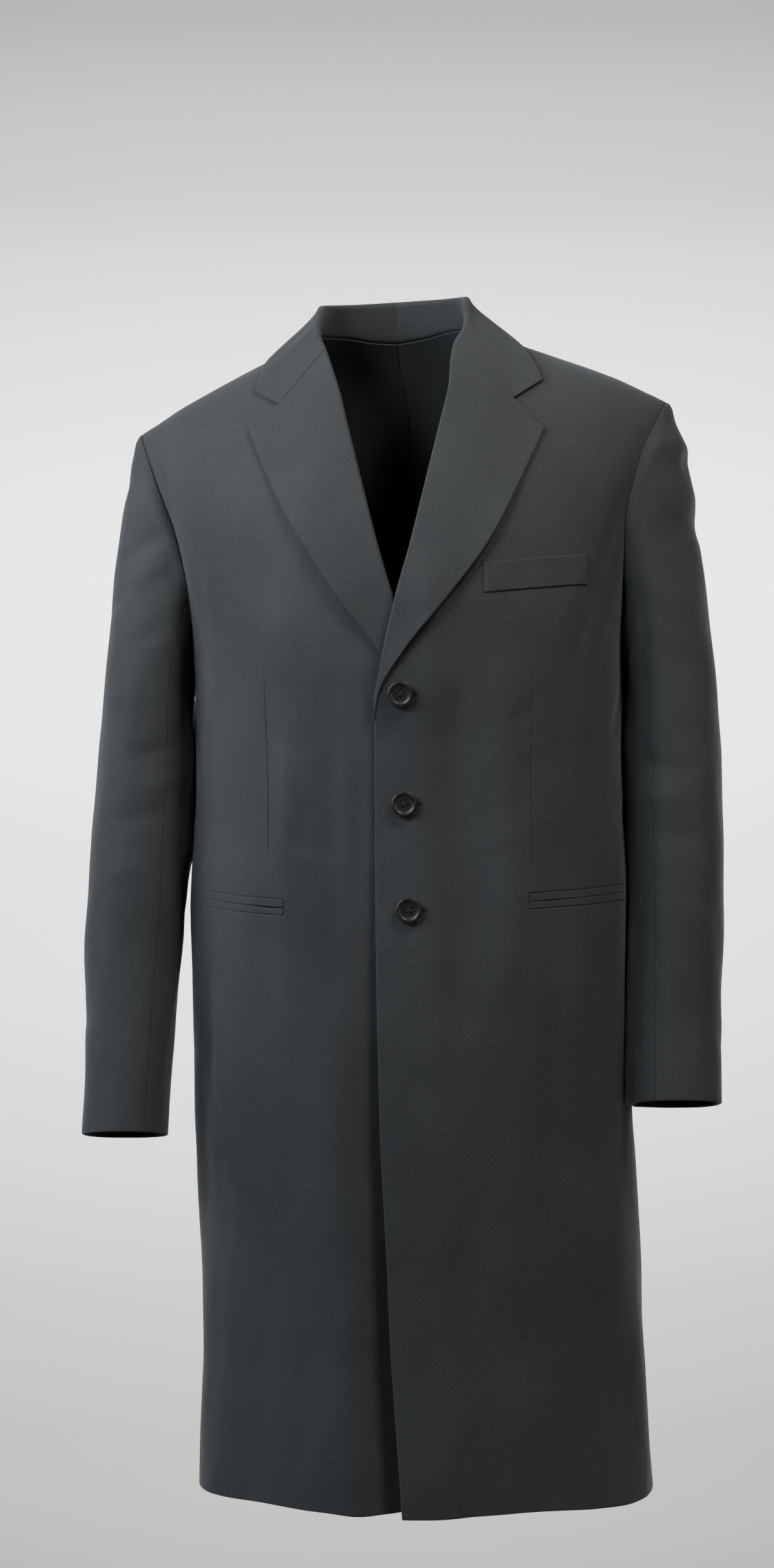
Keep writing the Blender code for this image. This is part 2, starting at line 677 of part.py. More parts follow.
def with_known(middle, known):
    """Outward directions of a grid whose first columns are already known."""
    normals = grid_normals(middle)
    last = known.shape[1] - 1
    normals *= np.sign(np.sum(normals[:, last] * known[:, last], -1))[:, None, None]
    normals[:, :last + 1] = unit(known)
    return normals


def lapel_rows(side):
    """Rises of the lapel's rows: those of the front's own rows beside the roll line."""
    rise = front_rises(side)
    low = LAPEL_BOTTOM_Z - UNDERARM_Z
    return rise[(rise >= low - ROW_MATCH) & (rise <= gorge_rise(side) + ROW_MATCH)]


def build_lapel(name, side, material):
    rise = lapel_rows(side)
    corner, notch = LAPEL_CORNER[side], NOTCH[side]
    roll_x, roll_z = seen_at(front_inner_angle(side, rise), rise)
    edge_table = sided(LAPEL_EDGE + ((corner[1], corner[0], corner[0]),))
    share = (roll_z - roll_z[0]) / (roll_z[-1] - roll_z[0])
    edge_z = mix(LAPEL_BOTTOM_Z, corner[1], share)
    edge_x = edge_table(side, edge_z)
    across = np.array(LAPEL_PARTS)
    top_x = np.interp(across, (0, NOTCH_SHARE, 1), (roll_x[-1], notch[0], corner[0]))
    top_z = np.interp(across, (0, NOTCH_SHARE, 1), (roll_z[-1], notch[1], corner[1]))
    grid, known = [], []
    for row in range(len(rise)):
        x = mix(roll_x[row], edge_x[row], across)
        z = mix(roll_z[row], edge_z[row], across)
        bend = smoothstep(LAPEL_TOP_BEND, 1, share[row])
        x = x + bend * (top_x - mix(roll_x[-1], edge_x[-1], across))
        z = z + bend * (top_z - mix(roll_z[-1], edge_z[-1], across))
        points, outward = front_point(side, *front_place(x, z))
        stand_off = 2 * ROLL_RADIUS + lapel_out(side, across, z)
        flat = points + outward * stand_off[:, None]
        beyond = points[0] - points[LAPEL_PARTS.index(NOTCH_SHARE)]
        beyond = unit(beyond - outward[0] * np.dot(beyond, outward[0]))
        rolled, facing = roll_section(points[0], outward[0], beyond)
        grid.append(np.concatenate((rolled, flat[1:])))
        known.append(facing)
    middle = pull_in(np.array(grid), last_row=SEAM_GAP / 2)
    normals = with_known(middle, np.array(known))
    normals[-1, 1 - len(across):] = -outward[1:]
    return add_wall(name, middle, normals, material)


# Collar

def halved(rows):
    """The rows with a middle row put between each two."""
    middle = (rows[:-1] + rows[1:]) / 2
    result = np.empty((len(rows) * 2 - 1, *rows.shape[1:]))
    result[::2], result[1::2] = rows, middle
    return result


def neck_seam(side):
    """Seam points from the back centre over the shoulder to the gorge, with directions."""
    back = np.array([row[0] for row in BACK_NECK])
    front = np.array(list(NECK_RISES[-2::-1]) + [gorge_rise(side)])
    rise = np.concatenate((back, front))
    angle = np.concatenate((back_inner_angle(back), front_inner_angle(side, front)))
    edge = body(side * angle, rise)
    outward = body_normal(side * angle, rise)
    along = np.gradient(edge, axis=0)
    along[0] = edge[1] - body(-side * angle[1], rise[1])
    beyond = side * unit(np.cross(along, outward))
    steps = np.linalg.norm(np.diff(edge, axis=0), axis=-1)
    share = np.concatenate(([0], np.cumsum(steps))) / steps.sum()
    return halved(share), halved(edge), unit(halved(outward)), unit(halved(beyond))


def build_collar(material):
    (right, right_known), (left, left_known) = collar_half(-1), collar_half(1)
    middle = np.concatenate((right[::-1], left[1:]))
    middle = pull_in(middle, first_row=SEAM_GAP / 2, last_row=SEAM_GAP / 2)
    known = np.concatenate((right_known[::-1], left_known[1:]))
    normals = with_known(middle, known)
    for row, side in ((0, -1), (-1, 1)):
        normals[row, 1 - len(COLLAR_PARTS):] = -collar_end(side)[1][1:]
    return add_wall("collar", middle, normals, material)


def collar_half(side):
    """Half of the collar from the back centre: stand, fold and fall in each row."""
    share, edge, outward, beyond = neck_seam(side)
    mirror = np.array((side, 1, 1))
    gorge, gorge_out = front_point(side, *front_place(*GORGE_START[side]))
    notch, _ = front_point(side, *front_place(*NOTCH[side]))
    ahead = gorge - notch
    ahead = unit(ahead - gorge_out * np.dot(ahead, gorge_out))
    beyond[-1], outward[-1] = ahead, gorge_out
    hooked = smoothstep(*COLLAR_HOOK, share)[:, None]
    radius = mix(COLLAR_RADIUS, ROLL_RADIUS, hooked)
    folded = posed(through(COLLAR_FOLD)(share) * mirror)
    rolled = edge + beyond * (ROLL_LEAD + radius) + outward * radius
    fold = mix(folded, rolled, hooked)
    along = np.gradient(fold, axis=0)
    along[0] = np.array((side, 0, 0))
    along = unit(along)
    inwards = -unit(fold * np.array((1, 1, 0)) - NECK_CENTRE)
    up = unit(mix(np.array((0, 0, 1.0)) + STAND_LEAN * inwards, beyond, hooked))
    up = unit(up - along * np.sum(up * along, -1, keepdims=True))
    up[-1] = ahead
    out = side * unit(np.cross(up, along))
    out[-1] = gorge_out
    centre = fold - radius * up
    roll_start = centre - radius * out
    heading = unit(mix(unit(roll_start - edge), beyond, hooked))
    start, facing = start_at_seam(edge, outward, beyond, heading)
    columns, known = [], []
    for part in COLLAR_STAND_PARTS:
        columns.append(mix(start, roll_start, part))
        known.append(mix(facing, out, part))
    for turn in np.radians(COLLAR_FOLD_TURNS):
        spoke = math.cos(turn) * out + math.sin(turn) * up
        columns.append(centre + radius * spoke)
        known.append(-spoke)
    known.append(-out)
    fall = collar_fall(side, share, centre + radius * out, up)
    return np.concatenate((np.stack(columns, 1), fall), axis=1), np.stack(known, 1)


def shoulder_point(side, x, over):
    """Surface point at a width x, where over runs from the back over the shoulder forwards."""
    rise = np.where(over <= 90, over, 180 - over)
    angle = angle_at(x, rise)
    angle = side * np.where(over <= 90, 180 - angle, angle)
    return body(angle, rise), body_normal(angle, rise)


def stretched(over, end_rise):
    """What lies in front of the shoulder, scaled so that the last place is at end_rise."""
    scale = (90 - end_rise) / (over[-1] - 90)
    return over + np.maximum(over - 90, 0) * (scale - 1)


def collar_fall(side, share, top, up):
    """Points of the collar from its fold down to its edge, kept clear of the coat below."""
    seam_x, seam_over = np.moveaxis(through(COLLAR_SEAM)(share), -1, 0)
    edge_x, edge_over = np.moveaxis(through(COLLAR_EDGE)(share), -1, 0)
    seam_over = stretched(seam_over, gorge_rise(side))
    edge_over = stretched(edge_over, float(front_place(*COLLAR_CORNER[side])[1]))
    foot, foot_out = shoulder_point(side, edge_x, edge_over)
    foot = foot + foot_out * COLLAR_CLEAR
    drop = np.linalg.norm(foot - top, axis=-1, keepdims=True)
    columns = []
    for part in COLLAR_PARTS:
        free = hermite(top, foot, -up * drop * COLLAR_DROP, (foot - top) * COLLAR_SPREAD, part)
        below, below_out = shoulder_point(side, mix(seam_x, edge_x, part),
                                          mix(seam_over, edge_over, part))
        height = np.sum((free - below) * below_out, -1, keepdims=True)
        needed = mix(2 * ROLL_RADIUS, COLLAR_CLEAR, part)
        columns.append(free + below_out * np.maximum(needed - height, 0))
    fall = np.stack(columns, 1)
    change = (collar_end(side)[0] - fall[-1]) * (np.array(COLLAR_PARTS) > 0)[:, None]
    return fall + change * smoothstep(COLLAR_END_FROM, 1, share)[:, None, None]


def collar_end(side):
    """Points of the collar's end edge, along the gorge and then the notch, and directions."""
    corners = np.array((GORGE_START[side], NOTCH[side], COLLAR_CORNER[side]))
    x = np.interp(COLLAR_PARTS, (0, GORGE_PART, 1), corners[:, 0])
    z = np.interp(COLLAR_PARTS, (0, GORGE_PART, 1), corners[:, 1])
    points, outward = front_point(side, *front_place(x, z))
    return points + outward * 2 * ROLL_RADIUS, outward


# Pockets and buttons

def on_front(side, x, z, out):
    point, outward = front_point(side, *front_place(x, z))
    return point + outward * np.asarray(out)[..., None], outward


def build_strip(name, side, x, z, material):
    """Flat trim that follows the front's surface just outside it."""
    lift = np.full(np.shape(x), CLOTH / 2 + TRIM_GAP + TRIM_CLOTH / 2)
    points, outward = on_front(side, x, z, lift)
    return add_wall(name, points, outward, material, TRIM_CLOTH)


def build_welt(material):
    low_in, low_out, high_out, high_in = [np.array(corner, float) for corner in WELT]
    across = np.linspace(0, 1, WELT_COLUMNS)[None, :]
    up = np.linspace(0, 1, WELT_ROWS)[:, None]
    x = mix(mix(low_in[0], low_out[0], across), mix(high_in[0], high_out[0], across), up)
    z = mix(mix(low_in[1], low_out[1], across), mix(high_in[1], high_out[1], across), up)
    return build_strip("breast_pocket_welt", 1, x, z, material)


def build_jets(side_name, material):
    side = 1 if side_name == "left" else -1
    (near_x, near_z), (far_x, far_z) = JET_MOUTH[side]
    share = np.linspace(0, 1, JET_COLUMNS)[None, :]
    rise = near_z - UNDERARM_Z
    x = seen_at(mix(angle_at(near_x, rise), angle_at(far_x, rise), share), rise)[0]
    mouth = mix(near_z, far_z, share)
    for jet_name, low, high in (("upper", SEAM_GAP / 2, JET_HEIGHT),
                                ("lower", -JET_HEIGHT, -SEAM_GAP / 2)):
        up = np.array((low, high))[:, None]
        build_strip(f"hip_pocket_jet_{jet_name}_{side_name}", side,
                    x + 0 * up, mouth + up, material)


def build_button(name, x, z, material):
    """Turned button with a raised rim and a short shank, on the left front."""
    point, outward = on_front(1, np.array(x), np.array(z), np.array(CLOTH / 2 + SEAM_GAP))
    upright = np.array((0, 0, 1.0))
    across = unit(np.cross(outward, upright))
    upright = np.cross(across, outward)
    vertices = []
    for turn in np.arange(BUTTON_SIDES) * 2 * math.pi / BUTTON_SIDES:
        spoke = math.cos(turn) * across + math.sin(turn) * upright
        vertices += [point + spoke * out + outward * height for out, height in BUTTON_PROFILE]
    size = len(BUTTON_PROFILE)
    faces = []
    for turn in range(BUTTON_SIDES):
        here, there = turn * size, (turn + 1) % BUTTON_SIDES * size
        faces += [[here + k, there + k, there + k + 1, here + k + 1] for k in range(size - 1)]
    faces.append([turn * size for turn in range(BUTTON_SIDES)])
    faces.append([turn * size + size - 1 for turn in range(BUTTON_SIDES)])
    return add_object(name, np.array(vertices), faces, material)


def build_coat():
    clear_scene()
    for side_name, side in (("left", 1), ("right", -1)):
        build_front(f"front_{side_name}", side, plain_material(f"front_{side_name}", WOOL))
        build_back(f"back_{side_name}", side, plain_material(f"back_{side_name}", WOOL))
        build_sleeve(side_name, plain_material(f"sleeve_{side_name}", WOOL))
        build_lapel(f"lapel_{side_name}", side, plain_material(f"lapel_{side_name}", WOOL))
        build_jets(side_name, plain_material(f"jets_{side_name}", WOOL))
    build_collar(plain_material("collar", WOOL))
    build_welt(plain_material("welt", WOOL))
    for button_name, x, z in BUTTON_PLACES:
        build_button(f"button_{button_name}", x, z,
                     plain_material(f"button_{button_name}", HORN))


build_coat()
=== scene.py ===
"""The look of the worn frock coat: its cloth, sewing, buttons, light and camera.

Every cut piece is modelled again as a thin, closed shell of cloth with rounded edges on
the form of its plain solid: same rings, same seams, finer rows and columns, and soft
creases on top. Lengths in the tables are millimetres and degrees until MM is applied.
X runs to the wearer's left, -Y to the front and +Z up, from the base of the neck.
"""

import math

import bmesh
import bpy
import numpy as np
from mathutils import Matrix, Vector


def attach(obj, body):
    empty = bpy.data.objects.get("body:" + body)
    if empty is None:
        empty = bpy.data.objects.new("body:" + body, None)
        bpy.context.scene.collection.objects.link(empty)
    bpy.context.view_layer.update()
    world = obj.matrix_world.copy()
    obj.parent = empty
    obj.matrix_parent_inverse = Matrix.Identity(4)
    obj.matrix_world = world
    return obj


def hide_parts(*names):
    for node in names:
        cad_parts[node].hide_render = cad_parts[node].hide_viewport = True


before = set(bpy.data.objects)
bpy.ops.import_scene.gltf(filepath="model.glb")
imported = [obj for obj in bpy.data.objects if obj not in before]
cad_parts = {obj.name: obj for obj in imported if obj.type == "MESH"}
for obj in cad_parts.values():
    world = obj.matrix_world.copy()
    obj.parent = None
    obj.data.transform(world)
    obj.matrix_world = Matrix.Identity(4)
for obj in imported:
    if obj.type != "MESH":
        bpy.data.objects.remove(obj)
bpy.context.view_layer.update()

MM = 0.001
SIDE_NAMES = {1: "left", -1: "right"}   # a side is the sign of its x
UPRIGHT = np.array((0, 0, 1.0))

# Cloth and seams
CLOTH = 2.0             # thickness of a cut piece
SEAM_GAP = 0.03         # between two pieces at a seam, which the sewing closes up
BACK_SEAM_GAP = 0.0002  # the same at the centre back, where the ring turns most slowly
FINE_STEP = 0.4         # step for measuring a slope, mm or degrees

# Body
UNDERARM_Z = -300.0
HEM_Z = -1057.0
SHOULDER_REACH = 255.0  # half width of the ring that the shoulder seam lies on
LIFT_ROUND = 0.8        # how quickly the body rises over the shoulder
WIDEN_ROUND = 1.5       # how late it widens to the shoulder
BACK_TAPER = 0.85
FRONT_TAPER_NECK = 1.5
FRONT_TAPER_SHOULDER = 1.05
SIDE_SEAM_UNDERARM = 90.0
SIDE_SEAM_HEM = 97.0

BODY_RINGS = (
    # z, half_width, front_depth, back_depth, squareness of the ring
    (-1057, 210, 152, 150, 2.15),
    (-860, 203, 148, 144, 2.25),
    (-620, 202, 145, 137, 2.4),
    (-510, 203, 142, 128, 2.4),
    (-420, 198, 142, 124, 2.4),
    (-300, 197, 148, 135, 2.4),
)
SHOULDER_RIDGE = (
    # x, z
    (0, 40), (40, 32), (78, 15), (108, -2.5), (140, -16),
    (170, -29), (200, -43), (225, -56.5), (242, -66),
)
ARMHOLE_FRONT = (
    # rise, angle from the front centre on the left and on the right
    (0, 90, 90), (4, 80, 80), (9, 74, 74.5), (17, 68, 70.5), (28, 64, 71.5),
    (45, 64.5, 73), (60, 67.5, 73), (90, 70, 71.5),
)
ARMHOLE_BACK = (
    # rise, angle from the back centre on the left and on the right
    (0, 90, 90), (4, 82, 82), (9, 77.5, 77.5), (17, 73, 73), (28, 70, 71),
    (45, 68.5, 71), (60, 69, 71), (90, 70, 71.5),
)
FRONT_EDGE = (
    # z, distance past the centre of the front edge, then of the roll line, then of the
    # neck seam, on the left front and on the right front
    (-1057, -20, -20), (-855, -27, -27), (-330, -25, -25), (-300, -19, -12),
    (-242, -4.5, 8.5), (-193, 9.5, 22.5), (-122, 28, 39.5), (-54, 45.5, 54.5),
    (-8, 58, 62), (15, 78, 78),
)
BACK_NECK = (
    # rise, x of the back neck seam
    (63, 0), (66, 24), (70, 42), (76, 60), (83, 72), (90, 78),
)
BODY_FOLDS = (
    # angle, half_span, out, top_z, full_z, end_z
    (28, 13, 3.0, -380, -560, -900),
    (52, 13, -2.5, -420, -700, -1100),
    (75, 14, 2.5, -730, -960, -1150),
    (-46, 15, 3.5, -420, -620, -1000),
    (-70, 12, -3.0, -420, -700, -1150),
    (-24, 12, -2.0, -520, -800, -1150),
    (112, 15, 3.0, -480, -900, -1150),
    (138, 14, -3.5, -420, -800, -1150),
    (162, 12, 3.0, -360, -760, -1150),
    (-50, 30, -13.0, -640, -1100, -1500),
    (-115, 15, 3.0, -480, -850, -1150),
    (-141, 14, -3.5, -440, -860, -1150),
    (-164, 11, 2.5, -380, -800, -1150),
)

HEM_LIFT = (
    # angle, how far the hem hangs higher than HEM_Z
    (-180, 0), (-90, 0), (-65, 0.5), (-42, 3), (-25, 3), (-12, 0), (0, 0),
    (12, 2.5), (25, 4), (45, 0.5), (65, -3), (90, -1), (180, 0),
)
HEM_LIFT_FROM = -880.0

# How the worn coat stands
YAW_TOP, YAW_HEM = math.radians(3.0), math.radians(1.0)
ROLL_TOP = math.radians(3.3)
LEAN = (
    # z, sideways shift
    (-1057, 29), (-860, 24.6), (-700, 17.4), (-510, 14), (-300, 13), (-200, 12),
    (-60, 9), (0, 0), (40, -1),
)

# Closing of the fronts
OVER_LAP = 3.2          # the left front lies this far out where it covers the right
OVER_LAPEL = 8.0        # and this far where it also covers the right lapel
LAP_INNER, LAP_OUTER = 20.0, 55.0       # x over which it comes back to the body
LAP_FADE = (-245.0, -190.0)             # z over which the lap ends at the top
LAPEL_COVER = (-372.0, -318.0)          # z over which the cover of the lapel starts
UNDER_RECESS = 25.0     # the right front's edge falls back this far at the hem
UNDER_RISE = 4.0
RECESS_START = -72.0

# Lapels and collar
ROLL_RADIUS = 1.8       # middle radius of the lapel's roll
ROLL_LEAD = 0.7         # how far past its seam a lapel starts to turn
COLLAR_RADIUS = 3.2     # middle radius of the collar's fold at the back
STAND_LEAN = 0.35       # how far the stand leans towards the neck
NECK_CENTRE = np.array((0.0, 5.0, 0.0))
LAPEL_LIFT = {
    # height the free edge stands off the front, then the z over which that starts
    1: (5.0, -322.0, -250.0), -1: (4.0, -290.0, -225.0),
}
LAPEL_LIFT_FADE = (-190.0, -110.0)
LAPEL_TOP_BEND = 0.7    # share of the lapel's rows after which they turn to its top edge
# x and z on the left (1) and on the right (-1)
GORGE_START = {1: (58.0, -8.0), -1: (62.0, -8.0)}
NOTCH = {1: (101.0, -62.0), -1: (110.0, -55.0)}
COLLAR_CORNER = {1: (129.5, -45.5), -1: (131.0, -39.0)}
LAPEL_CORNER = {1: (128.5, -91.5), -1: (138.0, -74.0)}
NOTCH_SHARE = 0.63      # how far along the lapel's top the notch is
LAPEL_EDGE = (
    # z, x below the corner, on the left and on the right
    (-137, 105.5, 112.5), (-190, 77.5, 82.5), (-240, 38.5, 51.5), (-285, 1, 18.5),
    (-322, -22, -9), (-345, -25.5, -12),
)
COLLAR_FOLD = (
    # share of the way from back centre to gorge, x, y, z
    (0, 0, 62, 48), (0.25, 38, 52, 47), (0.45, 60, 28, 45), (0.6, 66, 4, 42),
    (0.75, 66, -18, 28), (0.9, 62, -38, 8),
)
COLLAR_EDGE = (
    # share, x, rise counted from the back over the shoulder to the front
    (0, 0, 55.4), (0.22, 50, 58), (0.4, 88, 68.5), (0.52, 104, 90),
    (0.64, 118, 106), (0.8, 126, 117), (1, 130, 122.4),
)
COLLAR_SEAM = (
    # share, x, rise counted like the edge's
    (0, 0, 63), (0.26, 42, 70), (0.52, 78, 90), (0.76, 70, 106), (1, 58, 119),
)
GORGE_PART = 0.66       # share of the collar's end that lies along the gorge
COLLAR_CLEAR = 4.2      # middle of the collar's edge above the middle of the body
COLLAR_HOOK = (0.68, 0.97)      # share over which the fold becomes the lapel's roll
COLLAR_END_FROM = 0.8           # share from which the fall bends to its end edge
COLLAR_DROP, COLLAR_SPREAD = 0.45, 1.1      # how the fall leaves the fold and lands

# Sleeves, where they hang: outer and inner are distances from x = 0
BICEPS_Z = -325.0
SLEEVE_ROUND = 2 / 2.3
CUFF_TILT = 0.18
CUFF_TILT_FROM = -480.0
# How a sleeve leaves the armhole at the shoulder, then at the underarm
SLEEVE_OUTWARDS = (1.0, 0.12)
SLEEVE_DOWNWARDS = (0.42, 1.0)
SLEEVE_FORWARDS = 0.45
SLEEVE_TURNS_DOWN = (95.0, 180.0)   # angle round the sleeve over which that changes
CAP_LEAVE, CAP_ARRIVE = 0.35, 0.9   # shares of the cap's length, with these limits
CAP_LEAVE_LIMITS = (6.0, 45.0)
SLEEVES = {
    -1: (
        # z, outer, inner, centre_y, half_depth
        (-325, 270, 188.3, 8, 74), (-384, 275, 188.5, 4, 71), (-455, 281, 191.3, 0, 68),
        (-526, 283.6, 194.8, -10, 63), (-598, 284, 201, -22, 58), (-668, 284, 206.5, -38, 54),
        (-726, 286, 210, -50, 51),
    ),
    1: (
        (-325, 298, 213.8, -6, 74), (-384, 301.6, 215, -10, 71), (-455, 303, 217, -16, 68),
        (-526, 300.7, 219, -26, 63), (-598, 298.7, 218, -38, 58), (-668, 298.4, 217.6, -52, 53),
        (-697, 298, 217.6, -58, 51),
    ),
}
SLEEVE_FOLDS = {
    # angle round the sleeve, half_span, z, half_height, out
    -1: ((60, 60, -150, 34, 4), (100, 55, -205, 30, -3), (30, 60, -560, 60, 2.5)),
    1: ((10, 65, -133, 30, 4.5), (25, 55, -170, 18, -3.5), (-20, 60, -540, 70, 2.5)),
}

# Pockets and buttons
WELT = ((72, -235), (164, -230.5), (164, -204), (72, -209))   # x, z of its corners
JET_HEIGHT = 6.8
# x and z of the two ends of the mouth between the jets, on the left and on the right
JET_MOUTH = {1: ((109.0, -510.0), (196.0, -508.0)), -1: ((108.0, -509.5), (187.0, -501.0))}
BUTTON_PLACES = (
    # name, x, z
    ("top", -1.7, -320.8), ("middle", 0.5, -419.5), ("bottom", 3.6, -514.1),
)

# Rows and columns
EDGE_STEPS = np.array((0, 0.25, 0.6, 1.1, 1.8, 3.0))    # places beside an edge or a seam
EDGE_ROUND = 1.3        # how far in a wall's edge is rounded
RIM = 0.15              # half thickness left at the very edge
PANEL_STEP = 5.0        # rows and columns elsewhere on the panels
MEASURE_ANGLE = 38.0    # where round the body the rows' places are measured
DENSE_ROWS = (-522.0, -490.0, 0.8)      # z from, to and step of the rows at the hip pockets
NECK_ROWS = (-0.4, 1.0, 0.35)   # the same round the back neck's first two rises
CLUSTER = np.array((-2.6, -1.4, -0.8, -0.4, 0, 0.4, 0.8, 1.4, 2.6))    # columns at a fine line
CLUSTER_ROOM = 0.6      # least room between two such groups, or to the edge's own columns
EDGE_GUESS = 20.0       # the front edge's angle is found from this one
EDGE_ROUNDS, EDGE_STEP = 60, 0.7        # in this many rounds, each this share of the way
# Points that long curves are followed in before places on them are looked up
RISE_SAMPLES, COLUMN_SAMPLES, LINE_SAMPLES = 500, 241, 400
SLEEVE_SAMPLES, SEAM_SAMPLES = 181, 300

# Darts and pockets, finely
DARTS = {
    # side: (z, angle) of the top, (z, angle) of the foot
    1: ((-302.0, 31.7), (-496.0, 30.0)), -1: ((-292.0, 35.2), (-476.0, 33.1)),
}
DART_DEPTH, DART_WIDTH, DART_FADE = 0.75, 0.9, 26.0
JET_BED = 0.9           # how far the front is pressed in under the jets
JET_CLOTH, WELT_CLOTH = 0.9, 1.2        # their thickness
JET_RISE, WELT_RISE = -0.8, 0.15        # and how far over the front's face their back lies
BED_EDGE = (0.2, 1.2)   # distances past the jets over which this bed ends
MOUTH_DEPTH = 0.7       # of the groove between the jets
MOUTH_EDGE, MOUTH_END = (0.2, 1.0), (0.5, 2.0)      # how it ends across and along
MOUTH_GAPE = {
    # side: x of the widest place, its reach, how far the lower jet sags there
    1: (130.0, 34.0, 0.6), -1: (121.0, 19.0, 1.8),
}
MOUTH_OPEN = 0.3        # the least that it is open

# Creases and ripples
MM_PER_DEGREE = {"body": 3.3, "sleeve": 1.05}
CREASE_BOW_CENTRE = 0.3     # square of the share along at which a bowed crease is on its line
CREASE_DIP = 0.4            # how much the cloth gives back beside a crease
CREASES = {
    # angle, z, lean from the upright, half length, half width, bow, out
    "body": (
        (-28, -430, 1, 240, 17, 5, 3.2), (-15, -450, 0, 230, 15, 0, -3.0),
        (-9, -430, 0, 150, 8, 0, -1.7), (-42, -560, 2, 190, 26, -6, 1.2),
        (-63, -620, -3, 220, 20, 8, -2.6), (-20, -760, 2, 190, 24, 5, 1.2),
        (2, -440, 0, 160, 11, 0, 0.8), (10, -480, 0, 230, 16, 4, -1.9),
        (22.5, -490, 1, 250, 18, -4, 3.3), (36, -560, -2, 230, 21, 6, -2.2),
        (47, -520, 2, 210, 22, -6, 1.4), (62, -600, 4, 190, 22, 6, -1.3),
        (-36, -905, 4, 130, 30, 6, 1.6), (-8, -930, 0, 110, 16, 0, -1.0),
        (25, -900, -3, 140, 30, -5, 1.4), (44, -930, -4, 120, 30, -5, -1.3),
        (27, -345, 62, 42, 9, 5, -1.0), (33, -372, 66, 46, 9, -5, 0.7),
        (-27, -362, -58, 44, 9, -5, -1.1), (-31, -392, -64, 40, 9, 5, 0.7),
        (22, -452, 74, 46, 9, 4, 0.8), (-20, -468, -72, 42, 9, -4, 0.8),
        (-52, -262, -24, 60, 10, 6, -1.5), (50, -280, 22, 62, 10, -6, -1.4),
        (-62, -205, -12, 70, 9, 7, -1.5), (59, -190, 12, 66, 9, -7, -1.4),
        (-44, -225, -30, 52, 11, 4, 0.9), (43, -246, 28, 54, 11, -4, 0.9),
        (74, -345, 40, 46, 10, 5, -1.3), (-76, -350, -40, 46, 10, -5, -1.3),
        (80, -420, 70, 40, 11, 5, 1.1), (-84, -430, -70, 40, 11, -5, 1.1),
        (126, -330, 40, 60, 11, 6, -1.4), (-128, -345, -40, 60, 11, -6, -1.4),
        (142, -400, 74, 60, 10, 8, 1.1), (-146, -418, -72, 60, 10, -8, 1.1),
        (158, -446, 78, 52, 10, 7, -1.0), (-160, -462, -78, 52, 10, -7, -1.0),
        (128, -215, 22, 66, 10, 6, -1.5), (-130, -225, -22, 66, 10, -6, -1.5),
        (150, -120, 60, 60, 12, 8, 0.9), (-150, -128, -60, 60, 12, -8, 0.9),
        (118, -650, 4, 200, 24, 6, 1.6), (-124, -660, -4, 200, 24, -6, 1.6),
        (146, -810, 3, 190, 24, 6, -1.5), (-147, -830, -3, 190, 24, -6, -1.5),
        (-172, -760, 0, 220, 22, 5, 1.2), (92, -770, 3, 190, 22, 5, 1.3),
        (-95, -730, -3, 190, 22, -5, 1.3),
    ),
    -1: (
        (52, -186, 62, 46, 9, 6, -2.8), (64, -212, 64, 48, 10, 6, 2.0),
        (30, -236, 58, 40, 9, 5, -1.7), (84, -268, 66, 48, 10, 6, -1.9),
        (56, -322, 70, 50, 12, 8, 1.3), (104, -372, 76, 52, 9, 7, -2.0),
        (112, -402, 80, 50, 9, 6, 1.6), (96, -434, 84, 50, 10, -6, -1.7),
        (74, -486, 74, 48, 12, -6, 1.1), (250, -366, -74, 50, 11, 6, -1.8),
        (258, -426, -78, 46, 11, -6, 1.4), (286, -232, -56, 48, 12, 6, -1.9),
        (20, -616, 66, 46, 13, 6, -1.1), (205, -520, 74, 50, 13, 6, -1.2),
        (320, -420, -70, 46, 13, 5, -1.1),
        (60, -560, 0, 150, 14, 5, 1.0),
    ),
    1: (
        (14, -94, 88, 60, 17, 0, 6.0), (14, -128, 86, 50, 13, 3, -1.8),
        (145, -252, 0, 36, 28, 0, 2.6),
        (48, -184, 60, 42, 9, 6, -1.9), (74, -232, 60, 50, 11, 7, 1.7),
        (88, -286, 68, 50, 10, 6, -1.9), (62, -338, 72, 50, 12, 8, 1.2),
        (106, -386, 78, 52, 9, 7, -2.0), (114, -414, 82, 50, 9, 6, 1.6),
        (94, -450, 84, 50, 10, -6, -1.6), (70, -530, 70, 48, 13, -6, 1.1),
        (252, -376, -74, 50, 11, 6, -1.8), (260, -432, -78, 46, 11, -6, 1.3),
        (288, -240, -56, 48, 12, 6, -1.9), (26, -636, 66, 44, 13, 6, -1.1),
        (205, -530, 74, 50, 13, 6, -1.2), (320, -430, -70, 46, 13, 5, -1.1),
        (104, -470, 0, 330, 13, 8, 2.2), (76, -500, 0, 300, 16, 6, -1.3),
    ),
}
UNEVEN = (
    # waves round the body, wave up in mm, phase, height: cloth never hangs quite even
    (10, 310, 0.3, 0.42), (-16, 203, 1.7, 0.26), (25, -187, 4.1, 0.16), (6, 91, 2.6, 0.24),
    (-38, 66, 5.2, 0.07), (52, 41, 0.9, 0.04),
)
# How far these wander with the height, over what height, and round the body
UNEVEN_DRIFT_UP, UNEVEN_DRIFT_LENGTH, UNEVEN_DRIFT_ROUND = 1.3, 171.0, 0.9
PUCKER, PUCKER_WAVE, PUCKER_REACH = 0.16, 14.0, 7.0     # ripples beside a sewn seam
PUCKER_DRIFT, PUCKER_DRIFT_LENGTH = 1.6, 37.0           # which keep no even beat

